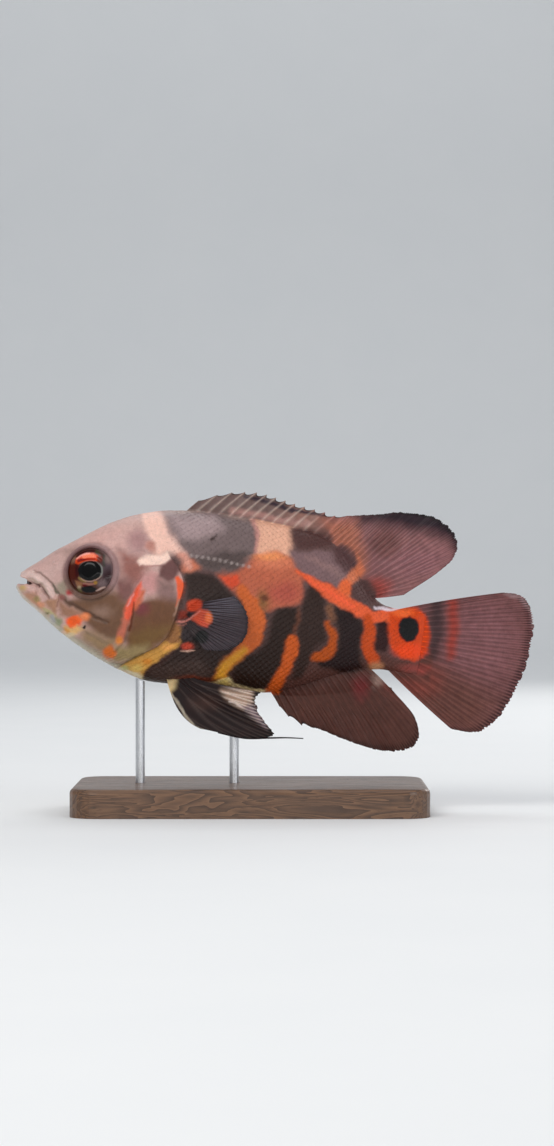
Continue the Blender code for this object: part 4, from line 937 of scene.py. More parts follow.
def shaped_skin():
    """One skin for head, gill covers, torso and tail, with its folds worked in."""
    snout = [0, 0.15, 0.35, 0.7, 1.2, 1.8, 2.5, 3.4]
    stations = np.concatenate([snout, np.arange(4.4, BODY_END, 1.1), [BODY_END]])
    skin = loft("skin", body_rings(stations, 96))
    pieces, cuts = [lip("upper_lip", **UPPER_LIP), lip("lower_lip", **LOWER_LIP)], [mouth_blade()]
    for side in (-1, 1):
        centre, axis = eye_frame(side)
        rim = surface_point(*EYE_PLACE, side) - 0.15 * axis
        pieces.append(ring("orbit", rim, axis, ORBIT_RADIUS, ORBIT_RIM, flat=0.75))
        cuts.append(pebble("socket", centre, axis, EYE_RADIUS - 0.1, EYE_DEPTH - 0.05))
        nostril, facing = surface_point(*NOSTRIL_PLACE, side), surface_normal(*NOSTRIL_PLACE, side)
        pieces.append(ring("nostril_rim", nostril, facing, NOSTRIL_RADIUS + 0.3, 0.32, 32, 12))
        cuts.append(pebble("nostril", nostril, facing, NOSTRIL_RADIUS, 0.9, 12, 24))
    boolean(skin, "UNION", pieces)
    boolean(skin, "DIFFERENCE", cuts)
    remesh = skin.modifiers.new("remesh", "REMESH")
    remesh.mode = "VOXEL"
    remesh.voxel_size = SKIN_VOXEL * MM
    smooth = skin.modifiers.new("smooth", "SMOOTH")
    smooth.factor = 0.5
    smooth.iterations = 3
    apply_modifiers(skin)
    mesh = skin.data
    points, normals = np.empty((2, len(mesh.vertices) * 3), np.float32)
    mesh.vertices.foreach_get("co", points)
    mesh.vertex_normals.foreach_get("vector", normals)
    world, normals = points.reshape(-1, 3).astype(float), normals.reshape(-1, 3).astype(float)
    local = in_fish(world)
    world = world + normals * skin_relief(local)[:, None] * MM
    mesh.vertices.foreach_set("co", world.astype(np.float32).ravel())
    mesh.update()
    mesh.shade_smooth()
    set_colour(skin, eye_ring_colour(local, skin_colour(local)))
    return skin


def scale_pattern(x, z, step, row):
    """0 to 1 up each scale of a lattice, from its root to its rear edge."""
    line = np.floor(z / row)
    across = z / row - line - 0.5
    along = x / step + 0.5 * (line % 2) - 1.1 * across * across
    return along - np.floor(along)


def skin_relief(p):
    """How far each point of the skin moves out, in millimetres."""
    x, z = p[:, 0], p[:, 2]
    side = np.abs(p[:, 1])
    on_side = ease(side, 1.5, 4.0)
    edge = GILL_EDGE(z) - x
    high = ease(z, 20, 14) * ease(z, -25, -20)
    swell = GILL_SWELL * ease(x, 27, 42) * high * ease(edge, -0.1, 0.35) * on_side
    slit = 0.45 * bump(edge, -0.45, 0.45) * ease(z, 17, 12) * ease(z, -22, -17) * on_side
    lift = swell - slit
    px, py = to_photo(p)
    for line, depth, half in FOLDS.values():
        gap = line_distance(px, py, line) * MM_PER_PIXEL
        lift -= depth * bump(gap, 0, half) * on_side
        lift += 0.35 * depth * bump(gap, 1.9 * half, 1.2 * half) * on_side
    cheek = np.hypot((x - 31) / 7, (z + 6) / 9)
    lift += 0.35 * ease(cheek, 1.2, 0.2) * on_side
    nape = ease(x, 22, 40) * bump(side, 0, 2.5) * ease(z - BACK(x), -3, 0)
    lift += 0.25 * nape
    under_gill = ease(z, -15.5, -18) * ease(x, 20, 26) * ease(edge, 0.5, 1.5)
    lift += 0.13 * np.sin(4.2 * (edge + 0.25 * z)) * under_gill * on_side
    fan = np.arctan2(z - 13.5, x - 37.5)
    plate = ease(edge, 0.4, 2.0) * ease(x, 38, 42) * ease(z, -13, -8) * ease(z, 14, 8)
    lift += 0.06 * np.sin(26 * fan) * plate
    for pores, height, half in ((LATERAL_PORES, 0.14, 0.55), (HEAD_PORES, -0.13, 0.35)):
        for pore_x, pore_z in pores:
            lift += height * bump(np.hypot(x - pore_x, z - pore_z), 0, half) * on_side
    fine = scale_pattern(x + 0.06 * z, z, 1.9, 1.7)
    scaly = ease(x, 24, 32) * ease(x, 52, 44) * ease(z, -17, -12) * on_side
    lift += 0.035 * (fine - 0.5) * scaly
    lift += 0.07 * noise(p, 5.0, 21) + 0.03 * noise(p, 1.6, 22)
    lift -= SKIN_INSET * ease(x - GILL_EDGE(z), 0.4, 1.6) * ease(x, 127, 122)
    return lift


HEAD_PORES = [
    (17.5, 14.6), (14.2, 11.6), (28.5, 15.5), (33.6, 12.0), (30.2, 19.6), (15.4, 0.6), (19.6, -2.8),
    (24.6, -3.6), (36.6, 5.4), (34.2, -1.0), (33.9, -6.4), (33.6, -11.6), (8.4, -7.2), (12.6, -9.8),
    (17.0, -12.4), (39.0, 16.0),
]


def section_table(x):
    """Heights and half widths round one side at x, with their distance along the skin."""
    y, z = body_section(x, np.linspace(-math.pi / 2, math.pi / 2, 181))
    along = np.concatenate([[0], np.cumsum(np.hypot(np.diff(y), np.diff(z)))])
    return along - np.interp(WIDEST(x), z, along), y, z


def scale_roots():
    """Root places of the scales of one side, each with its size and its distance up the skin."""
    roots = []
    x, column = SCALE_FROM, 0
    while x < SCALE_TO:
        size = 1.0 - 0.3 * float(ease(x, 60, 125))
        along, y, z = section_table(x)
        row = SCALE_ROW * size
        first = math.ceil((along[0] + 0.4) / row)
        for j in range(first, int((along[-1] - 0.3) / row) + 1):
            s = (j + 0.5 * (column % 2)) * row
            if along[0] + 0.3 < s < along[-1] - 0.2:
                at_z = float(np.interp(s, along, z))
                if x > GILL_EDGE(at_z) - 0.9:
                    roots.append((x, float(np.interp(s, along, y)), at_z, size, s))
        x += SCALE_STEP * size * 0.5
        column += 1
    return roots


def plate_faces(rows, cols):
    """Faces of a closed plate: a grid of points, the same grid again under it, and the rim."""
    count = rows * cols
    top = np.arange(count).reshape(rows, cols)
    quads = np.stack([top[:-1, :-1], top[1:, :-1], top[1:, 1:], top[:-1, 1:]], axis=-1)
    quads = quads.reshape(-1, 4)
    border = np.concatenate([top[0, :-1], top[:-1, -1], top[-1, :0:-1], top[:0:-1, 0]])
    after = np.roll(border, -1)
    rim = np.stack([border, after, after + count, border + count], axis=1)
    return np.concatenate([quads, quads[:, ::-1] + count, rim])


def make_scales(name, side, skin_tree, seed):
    """Overlapping scales over one side of the body, each a thin closed plate on the skin.

    They come as two pieces, which keeps each of them small enough.
    """
    draw = np.random.default_rng(seed)
    a, b = np.meshgrid(np.linspace(0, 1, SCALE_GRID[0]), np.linspace(-1, 1, SCALE_GRID[1]))
    a, b = a.T.ravel(), b.T.ravel()
    patch = plate_faces(*SCALE_GRID)
    points, shades, uvs = [], [], []
    for x, y, z, size, s in scale_roots():
        root = np.array([x, side * y, z])
        ahead = np.array([x + 1.0, side * half_width_at(x + 1.0, z), z]) - root
        out = surface_normal(x, np.clip(z, BELLY(x) + 0.8, BACK(x) - 0.8), side)
        edge = BACK if z > WIDEST(x) else BELLY
        if np.abs(z - WIDEST(x)) > 0.93 * np.abs(edge(x) - WIDEST(x)):
            out = np.array([0, side * 0.5, math.copysign(1, z)])
            edge = BACK if z > 0 else BELLY
            ahead = np.array([1.0, 0, edge(x + 1) - edge(x)])
        ahead = ahead - (ahead @ out) * out / (out @ out)
        ahead /= np.linalg.norm(ahead)
        across = np.cross(out / np.linalg.norm(out), ahead)
        grown = size * (1 + 0.05 * draw.standard_normal())
        along = SCALE_LONG * SCALE_STEP * grown * (a * (1 - 0.3 * b * b * a) - SCALE_AHEAD)
        width = SCALE_BROAD * SCALE_ROW * grown
        spread = 0.5 * width * b * (1 - 0.3 * a * a) * (0.8 + 0.2 * ease(a, 0, 0.4))
        flat = root + along[:, None] * ahead + spread[:, None] * across
        tilt = 0.12 * draw.standard_normal()
        lifts = SCALE_RISE * ease(a, 0.0, 0.95) - SCALE_ROOT - 0.04 * b * b * a + 0.03 * tilt * b
        found = [skin_tree.find_nearest(Vector(place)) for place in in_world(flat)]
        held, normals = np.array([hit[0] for hit in found]), np.array([hit[1] for hit in found])
        points += [held + normals * (lifts - sunk)[:, None] * MM for sunk in (0, SCALE_THICK)]
        shade = (1 + 0.02 * draw.standard_normal()) * (1.0 - 0.01 * ease(a, 0.7, 1.0))
        shades += [shade, shade]
        spot = np.stack([(x - 30) / 110 + 0.003 * (a - 0.5), (s + 40) / 80 + 0.0015 * b], axis=1)
        uvs += [spot, spot + (0, 0.0002)]
    middle = len(points) // 4 * 2
    pieces = []
    for end, part in (("front", slice(0, middle)), ("rear", slice(middle, None))):
        world = np.concatenate(points[part])
        first = np.arange(0, len(world), 2 * len(a))
        made = mesh_from(f"{name}_{end}", world, (first[:, None, None] + patch).reshape(-1, 4))
        local = in_fish(world)
        colours = eye_ring_colour(local, skin_colour(local))
        set_colour(made, colours * np.concatenate(shades[part])[:, None])
        layer = made.data.uv_layers.new(name="OFBake")
        loops = np.empty(len(made.data.loops), np.int32)
        made.data.loops.foreach_get("vertex_index", loops)
        layer.data.foreach_set("uv", np.concatenate(uvs[part])[loops].astype(np.float32).ravel())
        pieces.append(turned_out(made))
    return pieces


def spread(values, at):
    """Values of rays read between them along a smooth curve; at counts in rays."""
    last = len(values) - 1
    i = np.clip(np.floor(at).astype(int), 0, last - 1)
    t = (at - i).reshape(-1, *[1] * (values.ndim - 1))
    before, here, after, beyond = (values[np.clip(i + k, 0, last)] for k in (-1, 0, 1, 2))
    return 0.5 * (
        2 * here + (after - before) * t + (2 * before - 5 * here + 4 * after - beyond) * t * t
        + (3 * here - before - 3 * after + beyond) * t * t * t
    )


def fin_sheet(
    name, rays, notches, rows, per_ray, flesh, wave, tint, seed,
    spines=0, bone=0.35, dark_tip=0.09, pale=None,
):
    """A fin: a thin skin over rays that stand out on both faces, part twice and end in a fringe.

    rays are root, bend and tip points, and the first few may be spines, which don't part. The
    skin has per_ray columns to a ray and rows along it, notches cut in between the tips, flesh
    is its half thickness at the root, and wave bends it. tint gives its colours, bone is how
    much lighter the rays are, dark_tip is the share of the dark edge, and pale gives a tone
    that lies on the rays.
    """
    rays = np.array(rays, float)
    count = len(rays)
    at = np.linspace(0, count - 1, (count - 1) * per_ray + 1)
    columns = len(at)
    t = np.linspace(0, 1, rows)[None, :] ** 0.92
    held = spread(rays, at)
    offset = np.abs(at - np.round(at))[:, None]
    is_spine = (np.round(at) < spines)[:, None]
    notch = np.interp(at, np.arange(count), notches)
    hollow = np.abs(np.sin(math.pi * at)) ** 0.8
    draw = np.random.default_rng(seed)
    ragged = np.interp(at, np.arange(count * 4) / 4, draw.random(count * 4))
    first = np.where(is_spine, 0, 0.25 * ease(t, 0.2, 0.7))
    second = np.where(is_spine, 0, 0.125 * ease(t, 0.55, 1.0))
    gap = np.abs(np.abs(offset - first) - second)
    width = np.where(is_spine, 0.17, 0.14) * (1 - np.where(is_spine, 0.4, 0.55) * ease(t, 0.3, 1.0))
    ridge = np.exp(-((gap / width) ** 2))
    reach = 1 - notch * hollow - 0.02 * ragged * (1 - ridge[:, -1] * 0.9)
    span = t * reach[:, None]
    s = span[..., None]
    root, bend, tip = (held[:, None, k] for k in range(3))
    middle = (1 - s) ** 2 * root + 2 * s * (1 - s) * bend + s * s * tip
    normal = np.cross(np.gradient(middle, axis=0), np.gradient(middle, axis=1))
    normal /= np.linalg.norm(normal, axis=2)[:, :, None] + 1e-9
    length = np.linalg.norm(tip - root, axis=2)
    joint = 1 + np.where(is_spine, 0, 0.14) * np.sin(2 * math.pi * span * length / 0.85)
    fold = wave * span ** 1.4 * (
        np.sin(0.9 * at + seed)[:, None] + 0.35 * np.sin(2.1 * at + 2 * seed)[:, None]
    )
    fold = fold + 0.05 * ease(span, 0.1, 0.5) * np.cos(2 * math.pi * at)[:, None]
    middle = middle + fold[..., None] * normal
    thin = np.maximum(0.13 - 0.05 * t, flesh * (1 - t / 0.3))
    stout = np.where(is_spine, 0.42 - 0.22 * t, 0.19 - 0.11 * t)
    half = (thin + stout * ridge * joint)[..., None]
    faces = [(middle + way * half * normal).reshape(-1, 3) for way in (1, -1)]
    made = turned_out(fish_mesh(name, np.concatenate(faces), plate_faces(columns, rows)))
    light = (ridge * joint * ease(span, 0.04, 0.2)).ravel()
    colour = tint(faces[0]) * (1 + bone * (light - 0.35))[:, None]
    if pale:
        tone, share = pale(faces[0], span.ravel())
        colour = laid(colour, tone, share * light)
    edge = np.tile(ease(t, 1 - dark_tip, 1 - 0.3 * dark_tip), (columns, 1)).ravel()
    colour = colour * (1 - 0.7 * edge * (1 - 0.95 * light))[:, None]
    set_colour(made, np.concatenate([colour, colour]))
    return made


def flat_ray(root, tip, bow=0.0, sway=0.0):
    root, tip = np.array([root[0], 0, root[1]]), np.array([tip[0], sway, tip[1]])
    way = tip - root
    return [root, (root + tip) / 2 + bow * np.array([-way[2], 0, way[0]]), tip]


def sunk_ray(root, tip, bow, sway):
    """A ray of a fin in the middle plane whose root reaches down into the body."""
    inward = (tip - root) / np.linalg.norm(tip - root)
    return flat_ray(root - FIN_SINK * inward, tip, bow, sway)


def outline_place(ends, share, outline):
    """A place on the back or belly, by its share of the way between two x."""
    x = ends[0] + share * (ends[1] - ends[0])
    return np.array([x, float(outline(x))])


def shares(count):
    return np.arange(count) / (count - 1)


def with_body(points, px, py, colour):
    """The body's markings, carried a little way out on a fin."""
    return blend(colour, mark(px, py, BODY_MARKS, colour), body_share(points))


def medial_tint(base):
    """The colour of a fin in the middle plane."""
    def tint(points):
        px, py = warped(points, 0.8)
        colour = with_body(points, px, py, mark(px, py, FIN_MARKS, plain(base, points)))
        return colour * (1 + 0.12 * noise(points, 2.2, 5) + 0.08 * noise(points, 0.7, 6))[:, None]
    return tint


def paired_tint(base, forms, mottle, size, seed):
    """The colour of a pectoral or pelvic fin."""
    def tint(points):
        px, py = warped(points, 0.6)
        colour = mark(px, py, forms, plain(base, points))
        return colour * (1 + mottle * noise(points, size, seed))[:, None]
    return tint


def body_share(points):
    """1 on the body and close to it, falling to 0 out on the fins."""
    x, z = points[:, 0], points[:, 2]
    above, below = z - BACK(x), BELLY(x) - z
    past = x - 133.5
    flesh = 0.8 + 3.7 * ease(x, 84, 96)
    return np.clip(1 - np.maximum(np.maximum(above, below) / flesh, past / 1.2), 0, 1)


def spiny_tint(points):
    """The colour of the dorsal fin, whose spiny front is paler than its soft rear."""
    px, py = warped(points, 0.8)
    base = laid(plain((118, 96, 92), points), (146, 108, 98), ease(px, 270, 300))
    soft = medial_tint((128, 88, 88))(points)
    colour = blend(mark(px, py, FIN_MARKS, base), soft, ease(px, 312, 338))
    return with_body(points, px, py, colour)


def spiny_pale(points, along):
    px, _ = to_photo(points)
    return (176, 158, 146), 0.55 * ease(px, 322, 300) * ease(along, 0.1, 0.4)


def pectoral_pale(points, along):
    px, py = to_photo(points)
    top = ease(py - 0.35 * (240 - px), 618, 600)
    return (116, 112, 124), (0.11 + 0.4 * top) * ease(px, 198, 212)


def pelvic_pale(points, along):
    px, py = to_photo(points)
    white = ease(area_distance(px, py, PELVIC_MARKS["rear_white"][1]), 4, -2)
    lilac = ease(area_distance(px, py, PELVIC_MARKS["lilac"][1]), 4, -3)
    return (226, 206, 194), 0.03 + 0.6 * np.maximum(white, 0.7 * lilac)


def make_dorsal():
    lean = np.array([math.cos(SPINE_LEAN), math.sin(SPINE_LEAN)])
    rays = []
    for i, share in enumerate(shares(SPINE_COUNT)):
        base = outline_place(SPINE_ROOTS, share, BACK)
        sway = 0.35 * math.sin(2.7 * i)
        rays.append(flat_ray(base - FIN_SINK * lean, base + SPINE_LENGTH(share) * lean, 0.04, sway))
    for share in shares(SOFT_DORSAL_COUNT):
        sway = 0.9 * math.sin(3 * share)
        rays.append(sunk_ray(SOFT_DORSAL_ROOTS(share), SOFT_DORSAL_TIPS(share), -0.03, sway))
    return fin_sheet(
        "dorsal_fin_skin", rays, [0.09] * SPINE_COUNT + [0.01] * SOFT_DORSAL_COUNT, rows=70,
        per_ray=16, flesh=2.1, wave=0.25, tint=spiny_tint, seed=3, spines=SPINE_COUNT, bone=0.42,
        dark_tip=0.05, pale=spiny_pale,
    )


def make_anal():
    rays = []
    for share in shares(ANAL_COUNT):
        root, sway = outline_place(ANAL_ROOTS, share, BELLY), -0.8 * math.sin(3 * share)
        rays.append(sunk_ray(root, ANAL_TIPS(share), 0.03, sway))
    return fin_sheet(
        "anal_fin_skin", rays, [0.1] * ANAL_SPINES + [0.01] * (ANAL_COUNT - ANAL_SPINES), rows=80,
        per_ray=18, flesh=2.1, wave=0.3, tint=medial_tint((80, 51, 45)), seed=5, spines=ANAL_SPINES,
        bone=0.25,
    )


def make_caudal():
    rays = [
        flat_ray(
            CAUDAL_ROOTS(share), CAUDAL_TIPS(share), 0.05 * (0.5 - share),
            1.2 * math.sin(2.6 * share + 0.4),
        )
        for share in shares(CAUDAL_COUNT)
    ]
    return fin_sheet(
        "caudal_fin_skin", rays, [0.006] * CAUDAL_COUNT, rows=110, per_ray=18, flesh=1.2, wave=0.4,
        tint=medial_tint((107, 71, 71)), seed=7, bone=0.45, dark_tip=0.08,
    )


def make_pectoral(name, side):
    rays = []
    for share in shares(PECTORAL_COUNT):
        (root_x, root_z), (tip_x, tip_z) = PECTORAL_ROOTS(share), PECTORAL_TIPS(share)
        root = surface_point(root_x, root_z, side, sink=PECTORAL_SINK)
        reach = math.hypot(tip_x - root_x, tip_z - root_z)
        tip = np.array([tip_x, root[1] + side * (PECTORAL_SINK + PECTORAL_FLARE * reach), tip_z])
        rays.append([root, (root + tip) / 2 + np.array([0, side * 0.07 * reach, 0]), tip])
    tint = paired_tint((54, 45, 49), PECTORAL_MARKS, 0.1, 1.4, 7)
    return fin_sheet(
        name, rays, [0.01] * PECTORAL_COUNT, rows=60, per_ray=16, flesh=1.1, wave=0.12, tint=tint,
        seed=9 if side < 0 else 10, dark_tip=0.06, pale=pectoral_pale,
    )


def make_pelvic(name, side, tips, filament):
    rays = []
    for share in shares(PELVIC_COUNT):
        (root_x, root_z), (tip_x, tip_z) = PELVIC_ROOTS(share), tips(share)
        root_y = PELVIC_HALF_GAP + PELVIC_ROOT_SPLAY * share
        tip_y = PELVIC_HALF_GAP + PELVIC_TIP_OUT + PELVIC_TIP_SPLAY * share
        root = np.array([root_x, side * root_y, root_z + PELVIC_ROOT_UP])
        tip = np.array([tip_x, side * tip_y, tip_z])
        bend = (root + tip) / 2 + np.array([-2.2, side * 1.5, -5.5 * (1 - share)])
        rays.append([root, bend, tip])
    tint = paired_tint((40, 29, 29), PELVIC_MARKS, 0.12, 1.2, 8)
    made = fin_sheet(
        name, rays, [0.02] * PELVIC_COUNT, rows=80, per_ray=36, flesh=1.4, wave=0.3, tint=tint,
        seed=11 if side < 0 else 12, bone=0.25, dark_tip=0.05, pale=pelvic_pale,
    )
    if filament:
        join(made, make_filament(side * (PELVIC_HALF_GAP + 3.9)))
    return made


def make_filament(y, count=60, around=12):
    """The thin end of the first pelvic ray."""
    x, z = (curve([(k, p[axis]) for k, p in enumerate(FILAMENT)]) for axis in (0, 1))
    at = np.linspace(0, len(FILAMENT) - 1, count)
    centre = np.stack([x(at), np.full(count, y), z(at)], axis=1)
    turn = np.linspace(0, 2 * math.pi, around, endpoint=False)
    circle = np.stack([0 * turn, np.cos(turn), np.sin(turn)], axis=1)
    radius = FILAMENT_RADIUS * np.linspace(1, 0.4, count)
    made = loft("filament", centre[:, None] + radius[:, None, None] * circle)
    set_colour(made, plain((40, 30, 30), made.data.vertices))
    return made


def join(first, second):
    with bpy.context.temp_override(
        active_object=first, object=first, selected_objects=[first, second],
        selected_editable_objects=[first, second],
    ):
        bpy.ops.object.join()


def make_eye(name, side, rings=90, around=128):
    """An eyeball with its iris and pupil in the paint and the lens bulging through."""
    centre, axis = eye_frame(side)
    end = math.pi - 0.001
    polar = np.linspace(0.001, end, rings) ** 1.25
    angle = np.linspace(0, 2 * math.pi, around, endpoint=False)
    tail = np.array([1.0, 0, 0]) - axis[0] * axis
    tail /= np.linalg.norm(tail)
    up = np.cross(axis, tail)
    up *= math.copysign(1, up[2])
    sections = []
    for turn in polar / polar[-1] * end:
        r = EYE_RADIUS * math.sin(turn)
        height = EYE_DEPTH * math.cos(turn)
        if turn < math.pi / 2:
            height += PUPIL_BULGE * ease(r, PUPIL_RADIUS + 0.25, PUPIL_RADIUS - 1.6)
            height -= 0.16 * bump(r, PUPIL_RADIUS + 0.75, 0.45)
            height = height + 0.03 * np.sin(angle * IRIS_FIBRES) * bump(r, 5.4, 1.0)
        local = centre + r * np.cos(angle)[:, None] * tail + r * np.sin(angle)[:, None] * up
        sections.append(local + (height + 0 * angle)[:, None] * axis)
    points, faces = closed_loft(np.array(sections))
    made = turned_out(fish_mesh(name, points, faces))
    away = points - centre
    set_colour(made, eye_colour(away @ tail, away @ up, points))
    return made


def eye_colour(x, z, points):
    """The iris and the black pupil, laid out as in the photo round the eye's middle."""
    px = EYE_MIDDLE[0] + (x * math.cos(NOSE_UP) + z * math.sin(NOSE_UP)) / MM_PER_PIXEL
    py = EYE_MIDDLE[1] - (z * math.cos(NOSE_UP) - x * math.sin(NOSE_UP)) / MM_PER_PIXEL
    px = px + 0.35 * noise(points, 1.1, 15)
    py = py + 0.35 * noise(points, 1.1, 16)
    right, down = px - EYE_MIDDLE[0], py - EYE_MIDDLE[1]
    angle = np.arctan2(-down, right)
    high, out = np.sin(angle), np.hypot(x, z)
    r = np.hypot(right / PUPIL_STRETCH, down) * MM_PER_PIXEL
    fibre = np.sin(angle * IRIS_FIBRES + 4 * np.sin(r * 2.2)) * bump(out, 5.2, 1.3)
    colour = mark(px, py, EYE_MARKS, plain((74, 52, 48), points)) * (1 + 0.1 * fibre)[:, None]
    # Painted light on the eyeball's edge at the rear, softening the shadow where it meets the orbit
    # ring.
    border = ease(out, 6.4, 7.3) * ease(right, 2, 14) * ease(down, 16, 4)
    colour = laid(colour, (128, 104, 104), 0.7 * border)
    pupil = PUPIL_RADIUS / PUPIL_STRETCH
    rim = laid(plain((136, 140, 134), points), (178, 144, 130), ease(high, -0.2, -0.8))
    fades = (1 - 0.65 * ease(high, 0.3, 0.8)) * ease(np.cos(angle), -0.95, -0.6)
    colour = blend(colour, rim, 0.85 * fades * bump(r, pupil + 0.16, 0.17))
    return laid(colour, (6, 6, 7), ease(r, pupil + 0.1, pupil - 0.1))


class Nodes:
    """A material's node tree with short calls."""

    def __init__(self, name):
        self.material = bpy.data.materials.new(name)
        self.material.use_nodes = True
        self.tree = self.material.node_tree
        self.shader = self.tree.nodes["Principled BSDF"]
        self.place = self.add("ShaderNodeTexCoord").outputs["Object"]

    def add(self, kind, **settings):
        node = self.tree.nodes.new(kind)
        for key, value in settings.items():
            setattr(node, key, value)
        return node

    def wire(self, source, node, socket):
        if isinstance(source, (int, float, tuple)):
            node.inputs[socket].default_value = source
        else:
            self.tree.links.new(source, node.inputs[socket])

    def noise(self, size, detail=3.0, rough=0.55, place=None, twist=0.0):
        node = self.add("ShaderNodeTexNoise")
        self.wire(place or self.place, node, "Vector")
        self.wire(1000.0 / size, node, "Scale")
        self.wire(detail, node, "Detail")
        self.wire(rough, node, "Roughness")
        self.wire(twist, node, "Distortion")
        return node.outputs["Fac"]

    def cells(self, size):
        node = self.add("ShaderNodeTexVoronoi")
        self.wire(self.place, node, "Vector")
        self.wire(1000.0 / size, node, "Scale")
        return node.outputs["Distance"]

    def ramp(self, value, low, high, to_low=0.0, to_high=1.0):
        node = self.add("ShaderNodeMapRange")
        self.wire(value, node, "Value")
        sockets = ("From Min", "From Max", "To Min", "To Max")
        for socket, number in zip(sockets, (low, high, to_low, to_high)):
            self.wire(number, node, socket)
        return node.outputs["Result"]

    def mix(self, share, first, second, blend="MIX"):
        node = self.add("ShaderNodeMix", data_type="RGBA", blend_type=blend)
        for source, socket in ((share, 0), (first, 6), (second, 7)):
            self.wire(source, node, socket)
        return node.outputs[2]

    def rough(self, size, low, high, *settings):
        """A roughness between two levels, in patches."""
        return self.ramp(self.noise(size, *settings), 0.3, 0.7, low, high)

    def stretched(self, scale):
        """The place, drawn out along the axes whose scale is small."""
        node = self.add("ShaderNodeMapping")
        self.wire(self.place, node, "Vector")
        self.wire(scale, node, "Scale")
        return node.outputs[0]

    def math(self, operation, first, second):
        node = self.add("ShaderNodeMath", operation=operation)
        self.wire(first, node, 0)
        self.wire(second, node, 1)
        return node.outputs[0]

    def paint(self):
        return self.add("ShaderNodeVertexColor", layer_name="paint").outputs["Color"]

    def bump(self, height, depth, strength=1.0):
        node = self.add("ShaderNodeBump")
        self.wire(height, node, "Height")
        self.wire(depth * MM, node, "Distance")
        self.wire(strength, node, "Strength")
        self.tree.links.new(node.outputs[0], self.shader.inputs["Normal"])

    def set(self, **values):
        for key, value in values.items():
            self.wire(value, self.shader, key.replace("_", " "))


def grey(nodes, value, low, high):
    """A grey between two levels, driven by a value from 0 to 1."""
    level = nodes.ramp(value, 0.25, 0.75, low, high)
    node = nodes.add("ShaderNodeCombineColor")
    for socket in range(3):
        nodes.wire(level, node, socket)
    return node.outputs[0]


def painted(name, *mottlings):
    """A material with the paint, mottled by noise of a size, detail and roughness."""
    nodes = Nodes(name)
    colour = nodes.paint()
    for size, detail, rough, dark, light in mottlings:
        shade = grey(nodes, nodes.noise(size, detail, rough), dark, light)
        colour = nodes.mix(1.0, colour, shade, "MULTIPLY")
    return nodes, colour


def skin_material():
    coarse, fine = (1.6, 4.0, 0.6, 0.88, 1.12), (0.35, 2.0, 0.55, 0.93, 1.07)
    nodes, colour = painted("fish_skin", coarse, fine)
    pores = nodes.ramp(nodes.cells(0.55), 0.0, 0.32, 1.0, 0.0)
    freckled = nodes.mix(nodes.math("MULTIPLY", pores, 0.28), colour, (0.06, 0.04, 0.035, 1))
    wide = nodes.math("MULTIPLY", nodes.noise(1.7, 2.0), 1.6)
    nodes.bump(nodes.math("ADD", nodes.noise(0.5, 3.0), wide), 0.05, 0.8)
    nodes.set(
        Base_Color=freckled, Roughness=nodes.rough(2.4, 0.34, 0.5), Specular_IOR_Level=0.24,
        Coat_Weight=0.08, Coat_Roughness=0.2, Subsurface_Weight=0.1, Subsurface_Scale=0.001,
        Subsurface_Radius=(1.0, 0.45, 0.3),
    )
    return nodes.material


def scale_material():
    coarse, fine = (1.3, 4.0, 0.6, 0.88, 1.12), (0.3, 2.0, 0.55, 0.92, 1.08)
    nodes, colour = painted("fish_scales", coarse, fine)
    nodes.bump(nodes.noise(0.4, 3.0), 0.03, 0.7)
    nodes.set(
        Base_Color=colour, Roughness=nodes.rough(2.0, 0.32, 0.48), Specular_IOR_Level=0.2,
        Coat_Weight=0.06, Coat_Roughness=0.2,
    )
    return nodes.material


def fin_material():
    coarse, fine = (1.5, 4.0, 0.6, 0.86, 1.14), (0.3, 2.0, 0.55, 0.9, 1.1)
    nodes, colour = painted("fish_fins", coarse, fine)
    nodes.bump(nodes.noise(0.35, 3.0), 0.025, 0.6)
    nodes.set(
        Base_Color=colour, Roughness=nodes.rough(1.8, 0.36, 0.52), Specular_IOR_Level=0.2,
        Coat_Weight=0.03, Coat_Roughness=0.2, Subsurface_Weight=0.1, Subsurface_Scale=0.0006,
    )
    return nodes.material


def eye_material():
    nodes, colour = painted("fish_eye", (0.25, 3.0, 0.55, 0.85, 1.15))
    nodes.bump(nodes.noise(0.6, 2.0), 0.004, 0.3)
    nodes.set(
        Base_Color=colour, Roughness=nodes.rough(0.8, 0.12, 0.2), Specular_IOR_Level=0.1,
        Coat_Weight=0.4, Coat_Roughness=0.03, Coat_IOR=1.33,
    )
    return nodes.material


def wood_material():
    nodes = Nodes("stand_walnut")
    grain = nodes.stretched((0.11, 1.0, 1.0))
    rings = nodes.noise(6.0, 2.0, 0.4, grain, 1.6)
    bands = nodes.math("FRACT", nodes.math("MULTIPLY", rings, 9.0), 0.0)
    dark, light = (0.060, 0.027, 0.013, 1), (0.185, 0.090, 0.042, 1)
    base = nodes.mix(nodes.ramp(bands, 0.0, 1.0), dark, light)
    pores = nodes.ramp(nodes.noise(0.45, 3.0, 0.7, grain), 0.55, 0.7, 0.0, 1.0)
    full = nodes.mix(nodes.math("MULTIPLY", pores, 0.6), base, (0.022, 0.010, 0.006, 1))
    nodes.bump(nodes.math("SUBTRACT", nodes.math("MULTIPLY", bands, 0.2), pores), 0.06, 0.6)
    nodes.set(
        Base_Color=full, Roughness=nodes.rough(1.2, 0.34, 0.5, 3.0, 0.6, grain),
        Coat_Weight=0.25, Coat_Roughness=0.2,
    )
    return nodes.material


def steel_material():
    nodes = Nodes("stand_steel")
    lines = nodes.noise(0.12, 3.0, 0.6, nodes.stretched((1.0, 1.0, 0.04)))
    base = nodes.mix(lines, (0.50, 0.51, 0.53, 1), (0.68, 0.69, 0.71, 1))
    nodes.bump(lines, 0.01, 0.4)
    nodes.set(Base_Color=base, Metallic=1.0, Roughness=nodes.ramp(lines, 0.3, 0.7, 0.22, 0.36))
    return nodes.material


